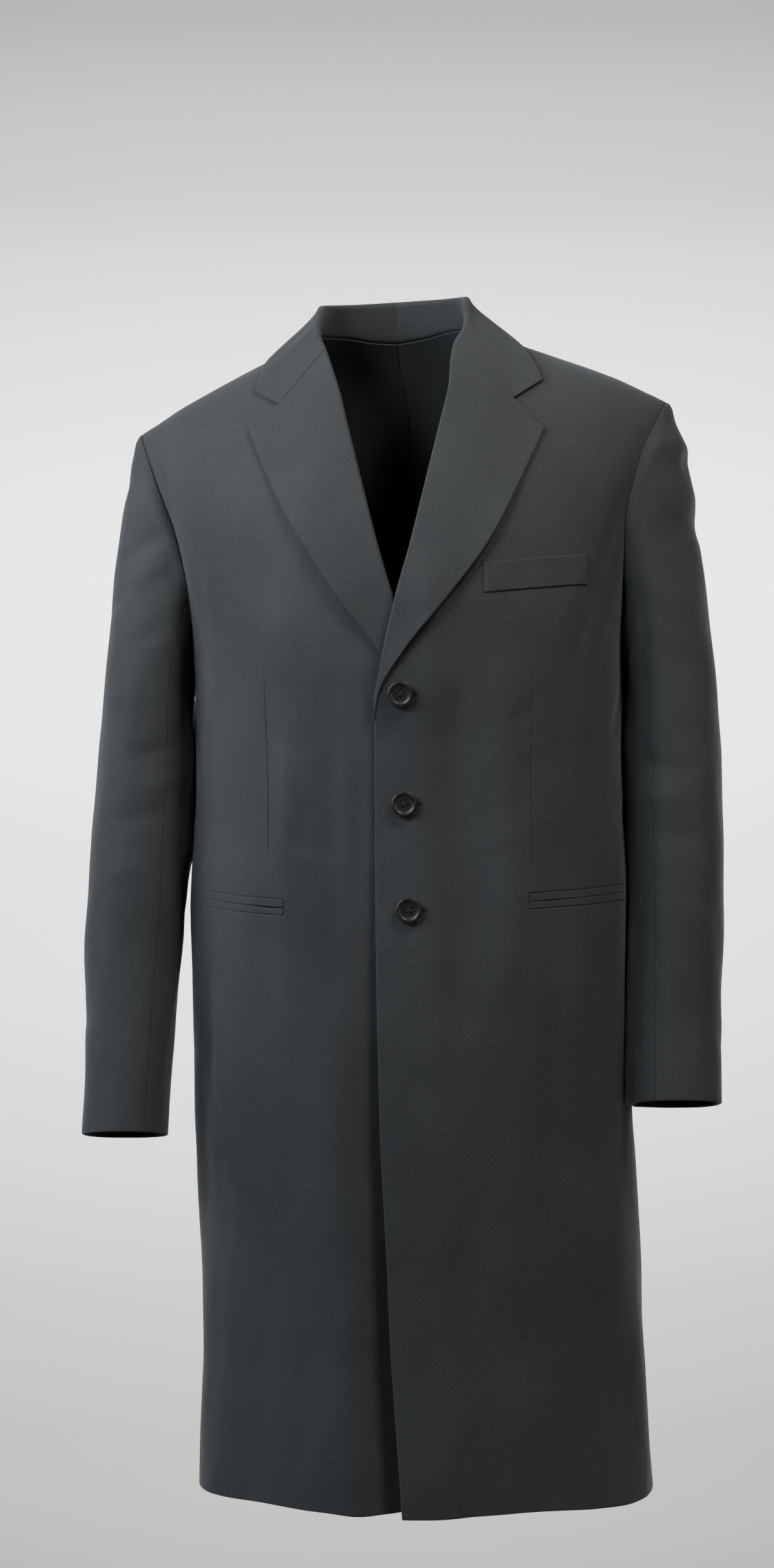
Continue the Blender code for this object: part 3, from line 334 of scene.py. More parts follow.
# Sleeves, finely
BESIDE_Z = (-240.0, -760.0)     # z over which the coat's side is looked up
BESIDE_ANGLES, BESIDE_DEEP = (44.0, 137.0, 3.0), (-130.0, 131.0)   # and the angles and y
LAST_CELL = 1.001               # from a grid's end to just inside its last cell
BESIDE_FROM = (16.0, 110.0)      # distances from the armhole over which a sleeve may shift
BESIDE_END = {1: (-760.0, -800.0), -1: (-462.0, -502.0)}    # z over which it hangs free
BESIDE_PULL = (10.0, 16.0)      # gaps that close, and that stay
BESIDE_GAP = 2.8                # how near the two middle surfaces then are
HEAD_ROLL, HEAD_ROLL_REACH = 1.0, 16.0      # a sleeve swells just past the armhole
HEAD_OUTSIDE = (60.0, 125.0)    # turns over which a sleeve's outside becomes its underside
HEAD_ROLL_UNDER = 0.35          # share of the swelling that is left there
HEAD_PUCKER_STEP = 1.3          # mm a degree, for the ripples beside the armhole
HEAD_PUCKER_LESS = 0.5          # how much weaker they are outside
SLEEVE_FOLDS_FROM = 14.0        # distance from the armhole over which its folds start
SEAM_TURN = 3.0                 # and over which it turns from the seam's own direction
SLEEVE_SEAMS = {1: (121.62, 261.77), -1: (119.35, 263.35)}      # turns of the two seams

# Buttons and thread, finely
BUTTON_FACE = (
    # distance from the axis, height above the cloth, from the shank round to the dish
    (2.4, 0), (2.4, 2.1), (9.4, 2.1), (10.6, 2.4), (11.25, 3.1), (11.5, 4.0), (11.35, 4.9),
    (10.9, 5.5), (10.2, 5.85), (9.4, 5.85), (8.6, 5.5), (7.8, 5.0), (7.0, 4.72), (6.0, 4.6),
    (5.0, 4.56),
)
BUTTON_SHARE, BUTTON_SIDES = 0.25, 96   # step from one of these to the next, and sides round
BUTTON_BACK = 13        # first places, which stay above the cloth
BUTTON_FACE_UP = 4      # last places, which the holes may reach
BUTTON_DISH = (4.8, 0.1, -0.2)          # distances of the places in the dish
BUTTON_HOLES, BUTTON_HOLE_DEPTH = 3.2, 2.0
BUTTON_HOLE_EDGE = (0.75, 1.1)          # from a hole's middle to where its wall starts and ends
BUTTON_SPIN = {"top": 3.0, "middle": 24.0, "bottom": 61.0}
BUTTONHOLE = (-3.0, 15.4, 1.0)      # from and to beside the button's middle, and half height
BUTTONHOLE_BLUNT = (0.5, 0.8)       # how blunt its ends and how full its sides are
BUTTONHOLE_SEAT, BUTTONHOLE_THREAD, BUTTONHOLE_STITCHES = 0.12, (0.42, 0.13), 44
THREAD_STRANDS, THREAD_RADIUS, THREAD_PLACES = (-0.32, 0.0, 0.32), 0.2, 15
THREAD_BOW = (0.75, -0.55, 0.22)    # its middle over its ends, the ends, the upper strands
ROPE_ASIDE = np.array((0.31, 0.17, 0.93))   # a direction that no thread runs in
SEAM_STITCH, SEAM_SEAT = 0.4, (0.28, 0.36)      # seam thread, and its place out and beyond
SEAM_TURN_STEP = 0.75
SEAM_SWELL = (-238.0, 26.0, 0.7)        # z, reach and size of its thicker part at the front

# Lapels, collar and welt, finely
LAPEL_FOOT_Z, LAPEL_FULL_Z = -345.0, -300.0     # z over which a lapel thins out to its foot
LAPEL_FOOT_RADIUS, LAPEL_FOOT_CLOTH = 0.68, 0.5
LAPEL_TURNS = 13        # columns round its roll
LAPEL_STEPS, LAPEL_SPAN = (4.0, 0.035), 100.0       # mm up, shares across, and about its width
COLLAR_STAND_COLUMNS, COLLAR_FOLD_COLUMNS = 9, 12
COLLAR_STEPS, COLLAR_SPAN = (3.0, 0.04), 75.0       # the same for the collar
COLLAR_START = np.array((0, 1.5))   # its first rows, from the centre back
COLLAR_SETTLE = 4.0                 # columns of the fall that still face as the fold does
FIRST_PART = 0.01                   # share across for the second column of a lapel or fall
COLLAR_FORCED = (0.93, 1.0)     # share over which the collar turns to the gorge's directions
WELT_STITCHES = ((3.0, 7.0, 0.5), (5.0, 9.0, 0.5))      # close columns at the welt's two ends
WELT_SEWN = (5.0, 7.0)          # its stitching, from its two ends
WELT_PRESS, WELT_PRESS_WIDTH = 0.12, 0.7        # how deep and how wide its stitching lies
WELT_LIP, WELT_LIP_FROM = 0.4, 0.7      # its mouth stands off, from this share of its height
TRIM_STEP, JET_STEPS = 3.0, (2.5, 1.2)  # of the welt's rows and columns, and a jet's along and up

# Weave and colours
TWILL_PITCH, TWILL_SLANT, YARN_PITCH = 0.0011, 0.62, 0.0007
WARP_GRAIN, WEFT_GRAIN = (2300, 260, 1), (240, 2100, 1)     # per metre
FLECK_GRAIN, BROAD_GRAIN, STRAND_GRAIN, HORN_GRAIN = 900.0, 9.0, 1800.0, 900.0
STREAK_GRAIN = ((420, 90, 130), 0.5)    # of the horn, and its turn
WOOL_TONES = ((0.25, (0.020, 0.0235, 0.0275)), (0.5, (0.037, 0.042, 0.047)),
              (0.75, (0.062, 0.069, 0.076)))
THREAD_TONES = ((0.3, (0.005, 0.0055, 0.0065)), (0.7, (0.017, 0.018, 0.020)))
HORN_TONES = ((0.3, (0.012, 0.012, 0.012)), (0.6, (0.021, 0.020, 0.019)),
              (0.8, (0.034, 0.032, 0.030)))
# The backdrop's grey by height, counted from PAPER_FOOT over PAPER_SPAN, is painted light: it is
# brightest a little below the middle like a pool of lamp light, with painted shade towards the top
# and the foot.
PAPER_FOOT, PAPER_SPAN = -1.45, 2.6
PAPER_PAINTED_LIGHT = tuple((share, (grey, grey, grey)) for share, grey in (
    (0.0, 0.52), (0.07, 0.41), (0.13, 0.46), (0.29, 0.82), (0.4, 0.94), (0.5, 0.8), (0.6, 0.46),
    (0.7, 0.2), (0.8, 0.1)))

# Stage, light and camera, in metres
FLOOR_Z, FLOOR_FRONT, STAGE_HALF = -1.45, -0.8, 5.0
BACKDROP_Y, BACKDROP_TOP, COVE, COVE_PARTS = 1.6, 2.6, 0.9, 16
FOCAL_PIXELS, IMAGE_HEIGHT, SENSOR = 5333.0, 2430, 36.0
CAMERA_PLACE = (-0.0072, -3.2, -0.336)
CAMERA_TIP = math.atan(115 / FOCAL_PIXELS)
AIR_COLOUR, AIR_STRENGTH = (0.90, 0.95, 1.0), 0.012
AIR_SEEN = 0.45         # as bright as the air looks where the paper ends
LIGHTS = (
    # name, place, target, width and height, spread, power, colour
    ("key", (-1.2, -1.7, 0.9), (0, 0, -0.05), (0.8, 0.8), 70, 5.5, (1.0, 1.0, 0.97)),
    ("side", (-1.5, -0.8, 0.5), (0, 0, -0.1), (0.7, 0.7), 90, 4.5, (1.0, 1.0, 1.0)),
    ("window", (-2.4, -0.2, 0.2), (0, 0, -0.3), (1.0, 1.2), 180, 26, (0.86, 0.93, 1.0)),
    ("top", (1.1, -1.3, 1.9), (0, 0, -0.15), (0.6, 0.6), 90, 10.5, (1.0, 0.92, 0.76)),
    ("fill", (2.4, -2.6, 0.3), (0, 0, -0.4), (1.6, 2.2), 180, 23, (0.95, 0.89, 1.0)),
    ("paper", (0, 0.3, 1.5), (0, 1.6, 0.1), (2.4, 0.3), 70, 75, (1.0, 1.0, 1.0)),
)


# Curves and vectors

def smoothstep(low, high, value):
    share = np.clip((value - low) / (high - low), 0, 1)
    return share * share * (3 - 2 * share)


def bulge(away, reach):
    """1 where away is 0, falling smoothly to 0 at the reach and beyond."""
    return np.cos(np.clip(away / reach, -1, 1) * math.pi / 2) ** 2


def half_turn(angle):
    """The same direction as an angle from -180 to 180."""
    return (angle + 180) % 360 - 180


def blunted(value, exponent):
    return np.sign(value) * np.abs(value) ** exponent


def mix(first, second, share):
    return first + (second - first) * share


def unit(vectors):
    return vectors / np.linalg.norm(vectors, axis=-1, keepdims=True)


def square_to(direction, normal):
    """The part of a direction that is square to a normal, as a unit vector."""
    return unit(direction - normal * np.sum(direction * normal, -1, keepdims=True))


def hermite(start, end, leave, arrive, share):
    """Cubic from start to end with the given slopes at its two ends."""
    square, cube = share ** 2, share ** 3
    return ((2 * cube - 3 * square + 1) * start + (3 * square - 2 * cube) * end
            + (cube - 2 * square + share) * leave + (cube - square) * arrive)


def through(rows):
    """Smooth function through a table: its first column goes in, the others come out."""
    data = np.array(sorted(rows), float)
    place, value = data[:, 0], data[:, 1:]
    step = np.diff(place)[:, None]
    slope = np.diff(value, axis=0) / step
    product, total = slope[:-1] * slope[1:], slope[:-1] + slope[1:]
    middle = np.where(product > 0, 2 * product / np.where(product > 0, total, 1), 0)
    tangent = np.vstack((slope[:1], middle, slope[-1:]))

    def read(where):
        where = np.asarray(where, float)
        index = np.clip(np.searchsorted(place, where) - 1, 0, len(step) - 1)
        share = ((where - place[index]) / step[index, 0])[..., None]
        inside = np.clip(share, 0, 1)
        width = step[index]
        result = hermite(value[index], value[index + 1],
                         tangent[index] * width, tangent[index + 1] * width, inside)
        end_slope = np.where(share > 1, tangent[index + 1], tangent[index])
        result = result + (share - inside) * width * end_slope
        return result[..., 0] if result.shape[-1] == 1 else result

    return read


def sided(table):
    """Function of a side and a place, from a table with a left and a right column."""
    read = through(table)
    return lambda side, where: read(where)[..., 0 if side > 0 else 1]


body_ring = through(BODY_RINGS)
ridge = through(SHOULDER_RIDGE)
armhole_front = sided(ARMHOLE_FRONT)
armhole_back = sided(ARMHOLE_BACK)
front_edge = sided(FRONT_EDGE)
back_neck = through(BACK_NECK)
lean = through(LEAN)
hem_lift = through(HEM_LIFT)


# The body's surface

def posed(point):
    """Turn, tip and shift a point of the symmetric coat to where the worn coat has it."""
    x, y, z = np.moveaxis(np.asarray(point, float), -1, 0)
    down = np.clip(z / HEM_Z, 0, 1)
    yaw = mix(YAW_TOP, YAW_HEM, down)
    roll = mix(ROLL_TOP, 0.0, down)
    return np.stack((x * np.cos(yaw) + y * np.sin(yaw) + lean(z),
                     y * np.cos(yaw) - x * np.sin(yaw),
                     z + x * np.sin(roll)), -1)


def body_fold(angle, z):
    """How far the folds and creases stand out of the rings."""
    folds = sum(height * bulge(half_turn(angle - place), half_span)
                * smoothstep(top_z, full_z, z) * (1 - smoothstep(full_z, end_z, z))
                for place, half_span, height, top_z, full_z, end_z in BODY_FOLDS)
    return folds + crease_field("body", angle, z)


def crease_field(name, angle, z):
    """How far the short soft creases and the cloth's unevenness stand out."""
    per_degree = MM_PER_DEGREE["body" if name == "body" else "sleeve"]
    out = 0.0
    for place, level, tilt, half_length, half_width, bow, height in CREASES[name]:
        side, up = half_turn(angle - place) * per_degree, z - level
        cosine, sine = math.cos(math.radians(tilt)), math.sin(math.radians(tilt))
        along = (up * cosine + side * sine) / half_length
        bent = side * cosine - up * sine + bow * (along ** 2 - CREASE_BOW_CENTRE)
        across = (bent / half_width) ** 2
        out = out + height * bulge(along, 1) * (1 - CREASE_DIP * across) * np.exp(-across)
    turn = np.radians(angle)
    for waves, wave_up, phase, height in UNEVEN:
        waves = round(waves * per_degree / MM_PER_DEGREE["body"])
        drift = (UNEVEN_DRIFT_UP * np.sin(z / UNEVEN_DRIFT_LENGTH + phase)
                 + UNEVEN_DRIFT_ROUND * np.sin(turn - phase))
        out = out + height * np.sin(waves * turn + 2 * math.pi * z / wave_up + phase + drift)
    return out


def ring_sizes(rise):
    """Level, half width, lift, rounding exponent, climb and the two depths at a rise."""
    level = UNDERARM_Z + np.minimum(rise, 0)
    over = np.clip(rise, 0, 180)
    climb = np.radians(np.where(over > 90, 180 - over, over))
    lift = np.sin(climb) ** LIFT_ROUND
    half, front, back, square = np.moveaxis(body_ring(level), -1, 0)
    half = half + (SHOULDER_REACH - half) * lift ** WIDEN_ROUND
    return level, half, lift, 2 / square, climb, front, back


def seen_at(angle, rise):
    """x and z at which the surface shows before it is posed and folded."""
    level, half, lift, rounding = ring_sizes(rise)[:4]
    x = half * blunted(np.sin(np.radians(angle)), rounding)
    return x, level + (ridge(np.abs(x)) - level) * lift


def body(angle, rise):
    """Point of the body's middle surface.

    angle is counted round the body from the front centre, positive to the wearer's left.
    rise is the distance below the underarm when negative, and when positive the angle
    over the shoulder: 90 is the shoulder seam and beyond it the other side.
    """
    angle, rise = np.broadcast_arrays(np.asarray(angle, float), np.asarray(rise, float))
    turn = np.radians(angle)
    rounding, climb, front, back = ring_sizes(rise)[3:]
    facing = np.where(np.cos(turn) >= 0, 1.0, -1.0) * np.where(rise > 90, -1.0, 1.0)
    x, z = seen_at(angle, rise)
    front_taper = mix(FRONT_TAPER_NECK, FRONT_TAPER_SHOULDER,
                      smoothstep(0, SHOULDER_REACH, np.abs(x)))
    taper = np.where(facing > 0, front_taper, BACK_TAPER)
    depth = np.where(facing > 0, front, back)
    y = -facing * depth * np.abs(np.cos(turn)) ** rounding * np.cos(climb) ** taper
    fold = body_fold(angle, z)
    z = z + hem_lift(half_turn(angle)) * smoothstep(HEM_LIFT_FROM, HEM_Z, z)
    return posed(np.stack((x + fold * np.sin(turn), y - fold * np.cos(turn), z), -1))


def body_normal(angle, rise):
    across = body(angle + FINE_STEP, rise) - body(angle - FINE_STEP, rise)
    along = body(angle, rise + FINE_STEP) - body(angle, rise - FINE_STEP)
    return unit(np.cross(across, along))


def angle_at(x, rise):
    """Angle from the nearer centre line at which the body is x wide at a rise."""
    half, _, rounding = ring_sizes(rise)[1:4]
    reach = np.clip(np.abs(x) / half, 0, 1) ** (1 / rounding)
    return np.sign(x) * np.degrees(np.arcsin(reach))


def front_place(x, z):
    """Angle and rise of the front's point that is seen at x and z."""
    x, z = np.broadcast_arrays(np.asarray(x, float), np.asarray(z, float))
    lift = np.clip((z - UNDERARM_Z) / (ridge(np.abs(x)) - UNDERARM_Z), 0, 1)
    climb = np.degrees(np.arcsin(lift ** (1 / LIFT_ROUND)))
    rise = np.where(z < UNDERARM_Z, z - UNDERARM_Z, climb)
    return angle_at(x, rise), rise


def front_shift(side, x, z):
    """How far a front lies out of the body's surface and up where the two fronts close."""
    if side > 0:
        near = 1 - smoothstep(LAP_INNER, LAP_OUTER, x)
        cover = mix(OVER_LAP, OVER_LAPEL, smoothstep(*LAPEL_COVER, z))
        return near * cover * (1 - smoothstep(*LAP_FADE, z)), 0.0
    under = smoothstep(UNDERARM_Z, HEM_Z, z) * smoothstep(RECESS_START, 0, -x)
    return -UNDER_RECESS * under, UNDER_RISE * under


def front_point(side, angle, rise):
    """Middle point and outward direction of a front, whose angle grows from its own edge."""
    out, up = front_shift(side, *seen_at(angle, rise))
    outward = body_normal(side * angle, rise)
    point = body(side * angle, rise) + outward * out[..., None]
    point[..., 2] += up
    return point, outward


def seen_front(side, x, z):
    """Middle point and outward direction of a front where it is seen at x and z."""
    return front_point(side, *front_place(x, z))


def front_inner_angle(side, rise):
    """Angle of the front edge, roll line or neck seam at a rise."""
    angle = np.full(np.shape(rise), EDGE_GUESS)
    for _ in range(EDGE_ROUNDS):
        z = seen_at(angle, rise)[1]
        angle = mix(angle, angle_at(front_edge(side, z), rise), EDGE_STEP)
    return angle


# Fine grids

def joined(*blocks, step=PANEL_STEP):
    """Places of the blocks in order, with even places between each two blocks."""
    rows = max(np.atleast_2d(block).shape[0] for block in blocks)
    blocks = [np.broadcast_to(block, (rows, np.shape(block)[-1])) for block in blocks]
    result = [blocks[0]]
    for before, after in zip(blocks, blocks[1:]):
        start, end = before[:, -1:], after[:, :1]
        count = max(1, int(np.max(end - start) / step))
        result += [start + (end - start) * np.arange(1, count + 1) / (count + 1), after]
    return np.concatenate(result, axis=1)


def travelled(points):
    """Length from the first point to each point along the last but one axis."""
    steps = np.linalg.norm(np.diff(points, axis=-2), axis=-1)
    return np.concatenate((np.zeros_like(steps[..., :1]), np.cumsum(steps, axis=-1)), axis=-1)


def rounded(places, thickness):
    """Half thickness of a wall whose four edges are rounded off."""
    along, up = places[..., 0], places[..., 1]
    distance = np.min((along, along[:, -1:] - along, up, up[-1:] - up), axis=0)
    near = 1 - np.clip(distance / (EDGE_ROUND * thickness / CLOTH), 0, 1)
    return np.maximum(thickness / 2 * np.sqrt(1 - near ** 2), RIM)


def puckered(distance, height):
    """Small ripples beside a sewn seam."""
    drift = PUCKER_DRIFT * np.sin(height / PUCKER_DRIFT_LENGTH)
    wave = np.sin(2 * math.pi * height / PUCKER_WAVE + drift)
    return PUCKER * wave * np.exp(-distance / PUCKER_REACH)


# Meshes

def linked(name, data):
    item = bpy.data.objects.new(name, data)
    bpy.context.collection.objects.link(item)
    return item


def smooth_item(name, vertices, faces, material):
    mesh = bpy.data.meshes.new(name)
    mesh.from_pydata(vertices, [], faces)
    mesh.materials.append(material)
    mesh.shade_smooth()
    return linked(name, mesh)


def add_piece(name, vertices, faces, material, node=None):
    """Visible piece of the coat from vertices in millimetres, in place of a node if named."""
    item = smooth_item(name, (vertices * MM).tolist(), faces, material)
    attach(item, "root")
    if node:
        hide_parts(node)
    return item


def grid_quads(index):
    """Quads between neighbours in a grid of vertex numbers."""
    quads = np.stack((index[:-1, :-1], index[:-1, 1:], index[1:, 1:], index[1:, :-1]), -1)
    return quads.reshape(-1, 4)


def closing(index, axis=0):
    """Grid with its first row or column said again at its end."""
    return np.concatenate((index, np.take(index, [0], axis)), axis)


def wall_faces(rows, columns):
    """Quads of a closed wall whose outer grid comes first and its inner grid second."""
    index = np.arange(rows * columns).reshape(rows, columns)
    quads = grid_quads(index)
    rim = np.concatenate((index[0, :-1], index[:-1, -1], index[-1, :0:-1], index[:0:-1, 0]))
    after = np.roll(rim, -1)
    sides = np.stack((after, rim, rim + index.size, after + index.size), -1)
    return np.concatenate((quads, quads[:, ::-1] + index.size, sides))


def enclosed(vertices, faces):
    """Signed volume inside quads, positive when they face outwards."""
    a, b, c, d = [vertices[faces[:, k]] for k in range(4)]
    return np.sum(np.cross(a, b) * c + np.cross(a, c) * d) / 6


def add_cloth(name, node, middle, outward, material, thickness=CLOTH, sunk=0.0):
    """Closed wall of cloth with rounded edges, its outer face sunk in by what is given."""
    places = np.stack((travelled(middle), travelled(np.swapaxes(middle, 0, 1)).T), -1)
    half = rounded(places, thickness)
    outer = middle + outward * (half - sunk)[..., None]
    inner = middle - outward * half[..., None]
    vertices = np.concatenate((outer.reshape(-1, 3), inner.reshape(-1, 3)))
    faces = wall_faces(*half.shape)
    if enclosed(vertices - vertices.mean(axis=0), faces) < 0:
        faces = faces[:, ::-1]
    item = add_piece(name, vertices, faces.tolist(), material, node)
    flat = np.zeros((len(vertices), 3))
    flat[:, :2] = np.tile(places.reshape(-1, 2), (2, 1)) * MM
    attribute = item.data.attributes.new("cloth", "FLOAT_VECTOR", "POINT")
    attribute.data.foreach_set("vector", flat.ravel())


def sided_names(kind, side):
    """Names of a piece of cloth and of its node."""
    return f"{kind}_cloth_{SIDE_NAMES[side]}", f"{kind}_{SIDE_NAMES[side]}"


# Fronts and backs

def panel_rises(close_rises):
    """Rises of a panel's rows from hem to shoulder, close together at its ends and there."""
    rise = np.concatenate((np.linspace(HEM_Z - UNDERARM_Z, 0, RISE_SAMPLES),
                           np.linspace(0, 90.0, RISE_SAMPLES)[1:]))
    travel = travelled(body(MEASURE_ANGLE, rise))
    close = np.interp(close_rises, rise, travel)
    top = travel[-1] - SEAM_GAP / 2
    places = joined(EDGE_STEPS, close, top - EDGE_STEPS[::-1])[0]
    return np.interp(places, travel, rise)


def row_angles(rise, start, end, lines, gaps):
    """Angles of a panel's columns on every row, from its inner edge to its outer edge.

    The columns lie close together at the edges, which leave the gaps, and along the lines.
    """
    angles = mix(start[:, None], end[:, None], np.linspace(0, 1, COLUMN_SAMPLES))
    travel = travelled(body(angles, rise[:, None]))
    blocks = [gaps[0] + EDGE_STEPS]
    end_room = EDGE_STEPS[-1] + CLUSTER[-1] + CLUSTER_ROOM
    each_room = CLUSTER[-1] - CLUSTER[0] + CLUSTER_ROOM
    for order, line in enumerate(lines):
        place = [np.interp(line[row], angles[row], travel[row]) for row in range(len(rise))]
        low = gaps[0] + end_room + order * each_room
        high = travel[:, -1] - gaps[1] - end_room - (len(lines) - 1 - order) * each_room
        blocks.append(np.clip(place, low, high)[:, None] + CLUSTER)
    blocks.append(travel[:, -1:] - gaps[1] - EDGE_STEPS[::-1])
    return np.array([np.interp(*row) for row in zip(joined(*blocks), travel, angles)])


def side_seam(rise):
    down = np.clip(rise / (HEM_Z - UNDERARM_Z), 0, 1)
    return mix(SIDE_SEAM_UNDERARM, SIDE_SEAM_HEM, down)


def dart_angle(side, z):
    (top_z, top_angle), (foot_z, foot_angle) = DARTS[side]
    return mix(foot_angle, top_angle, np.clip((z - foot_z) / (top_z - foot_z), 0, 1))


def dart_groove(side, angle, z):
    """Depth of the line where the front is taken in."""
    away = (angle - dart_angle(side, z)) * MM_PER_DEGREE["body"]
    (top_z, _), (foot_z, _) = DARTS[side]
    reach = smoothstep(0, DART_FADE, z - foot_z) * smoothstep(0, DART_FADE, top_z - z)
    return DART_DEPTH * np.exp(-(away / DART_WIDTH) ** 2) * reach


def mouth_line(side):
    """Angles of the two ends of a hip pocket's mouth and a function for its z."""
    (near_x, near_z), (far_x, far_z) = JET_MOUTH[side]
    near, far = angle_at(np.array((near_x, far_x)), near_z - UNDERARM_Z)
    return near, far, lambda angle: mix(near_z, far_z, (angle - near) / (far - near))


def gape(side, x):
    """How far the lower jet hangs down from the upper."""
    middle, reach, sag = MOUTH_GAPE[side]
    return MOUTH_OPEN + sag * bulge(x - middle, reach)


def pocket_bed(side, angle, x, z):
    """How far the front is pressed in under the jets and at the mouth between them."""
    near, far, level = mouth_line(side)
    inside = np.minimum(angle - near, far - angle) * MM_PER_DEGREE["body"]
    off = z - level(angle)
    bed = ((1 - smoothstep(*BED_EDGE, -inside))
           * (1 - smoothstep(*BED_EDGE, np.abs(off) - JET_HEIGHT)))
    slit = 1 - smoothstep(*MOUTH_EDGE, np.maximum(off - SEAM_GAP, -off - gape(side, x)))
    return JET_BED * bed + MOUTH_DEPTH * slit * smoothstep(*MOUTH_END, inside)


def build_front(side, material):
    rise = panel_rises(np.arange(*DENSE_ROWS) - UNDERARM_Z)
    start = front_inner_angle(side, rise)
    end = np.where(rise < 0, side_seam(rise), armhole_front(side, np.maximum(rise, 0)))
    near, far, _ = mouth_line(side)
    level = seen_at(start, rise)[1]
    lines = [np.full(len(rise), near), dart_angle(side, level), np.full(len(rise), far)]
    angle = row_angles(rise, start, end, lines, (0, SEAM_GAP / 2))
    middle, outward = front_point(side, angle, rise[:, None])
    x, z = seen_at(angle, rise[:, None])
    along = travelled(middle)
    middle = middle + outward * puckered(along[:, -1:] - along, z)[..., None]
    sunk = dart_groove(side, angle, z) + pocket_bed(side, angle, x, z)
    add_cloth(*sided_names("front", side), middle, outward, material, sunk=sunk)


def back_inner_angle(rise):
    x = np.where(rise > BACK_NECK[0][0], back_neck(rise), 0)
    return 180 - angle_at(x, rise)


def build_back(side, material):
    first, last, step = NECK_ROWS
    rise = panel_rises(np.arange(BACK_NECK[0][0] + first, BACK_NECK[1][0] + last, step))
    end = np.where(rise < 0, side_seam(rise), 180 - armhole_back(side, np.maximum(rise, 0)))
    gaps = BACK_SEAM_GAP / 2, SEAM_GAP / 2
    angle = side * row_angles(rise, back_inner_angle(rise), end, [], gaps)
    middle, outward = body(angle, rise[:, None]), body_normal(angle, rise[:, None])
    along = travelled(middle)
    sewn = np.minimum(along, along[:, -1:] - along)
    middle = middle + outward * puckered(sewn, seen_at(angle, rise[:, None])[1])[..., None]
    add_cloth(*sided_names("back", side), middle, outward, material)


# Pieces that start at a seam of the body

def start_at_seam(edge, outward, beyond, heading):
    """Middle point and outward direction where a turned piece starts at a panel's edge."""
    turn = np.arctan2(np.sum(heading * outward, -1), np.sum(heading * beyond, -1))[..., None]
    corner = edge + outward * CLOTH / 2
    corner = corner + SEAM_GAP * (np.cos(turn / 2) * beyond + np.sin(turn / 2) * outward)
    facing = np.cos(turn) * outward - np.sin(turn) * beyond
    return corner - facing * CLOTH / 2, facing


def armhole_point(side, rise, behind):
    angle = np.where(behind, 180 - armhole_back(side, rise), armhole_front(side, rise))
    return body(side * angle, rise), body_normal(side * angle, rise)


def armhole_loop(side, turn):
    """Seam points at the wanted turns: 0 at the shoulder, 180 at the underarm, over the front."""
    down = np.linspace(90, 0, LINE_SAMPLES)
    front = travelled(armhole_point(side, down, False)[0])
    back = travelled(armhole_point(side, down[::-1], True)[0])
    places = np.concatenate((front / front[-1] * 180, 180 + back[1:] / back[-1] * 180))
    rises = np.concatenate((down, down[::-1][1:]))

    def at(where):
        where = where % 360
        return armhole_point(side, np.interp(where, places, rises), where > 180)

    edge, outward = at(turn)
    along = at(turn + FINE_STEP)[0] - at(turn - FINE_STEP)[0]
    return edge, outward, side * unit(np.cross(outward, along))


def tube(side, turn, z):
    """Point of the hanging sleeve: turn 0 is outside, 90 the front, 180 next to the body."""
    outer, inner, centre_y, half_depth = np.moveaxis(through(SLEEVES[side])(z), -1, 0)
    across = blunted(np.cos(np.radians(turn)), SLEEVE_ROUND)
    ahead = blunted(np.sin(np.radians(turn)), SLEEVE_ROUND)
    x = side * ((outer + inner) / 2 + (outer - inner) / 2 * across)
    y = centre_y - half_depth * ahead
    tilt = CUFF_TILT * smoothstep(CUFF_TILT_FROM, SLEEVES[side][-1][0], z)
    return np.stack(np.broadcast_arrays(x, y, z - tilt * (y - centre_y)), -1)


def sleeve_fold(side, turn, z):
    """How far the folds and creases stand out of a sleeve."""
    folds = sum(height * bulge(half_turn(turn - place), half_span) * bulge(z - fold_z, half_height)
                for place, half_span, fold_z, half_height, height in SLEEVE_FOLDS[side])
    return folds + crease_field(side, turn, z)


def sleeve_heading(side, turn):
    """The way the sleeve sets off from the armhole, out at the top and down at the underarm."""
    below = smoothstep(*SLEEVE_TURNS_DOWN, np.abs(half_turn(turn)))
    forwards = SLEEVE_FORWARDS * np.sin(np.radians(turn))
    return unit(np.stack((side * mix(*SLEEVE_OUTWARDS, below), -forwards,
                          -mix(*SLEEVE_DOWNWARDS, below)), -1))


def ring_normals(points, side):
    """Outward directions of a tube's grid, whose columns go all round."""
    along = np.gradient(points, axis=0)
    across = np.roll(points, -1, 1) - np.roll(points, 1, 1)
    return side * unit(np.cross(across, along))


def beside_body(side, points, from_seam):
    """Points of a sleeve, moved across where they are nearly on the coat's own side."""
    z = np.arange(*BESIDE_Z, -PANEL_STEP)
    flank = body(side * np.arange(*BESIDE_ANGLES), z[:, None] - UNDERARM_Z)
    deep = np.arange(*BESIDE_DEEP, PANEL_STEP)
    reach = np.stack([np.interp(deep, row[:, 1], side * row[:, 0]) for row in flank])
    down = np.clip((z[0] - points[..., 2]) / PANEL_STEP, 0, len(z) - LAST_CELL)
    back = np.clip((points[..., 1] - deep[0]) / PANEL_STEP, 0, len(deep) - LAST_CELL)
    row, column = down.astype(int), back.astype(int)
    near = mix(mix(reach[row, column], reach[row, column + 1], back - column),
               mix(reach[row + 1, column], reach[row + 1, column + 1], back - column),
               down - row)
    gap = side * points[..., 0] - near
    pull = (1 - smoothstep(*BESIDE_PULL, gap)) * smoothstep(*BESIDE_FROM, from_seam)
    pull = pull * smoothstep(*BESIDE_END[side][::-1], points[..., 2])
    moved = points.copy()
    moved[..., 0] += side * (BESIDE_GAP - gap) * pull
    return moved


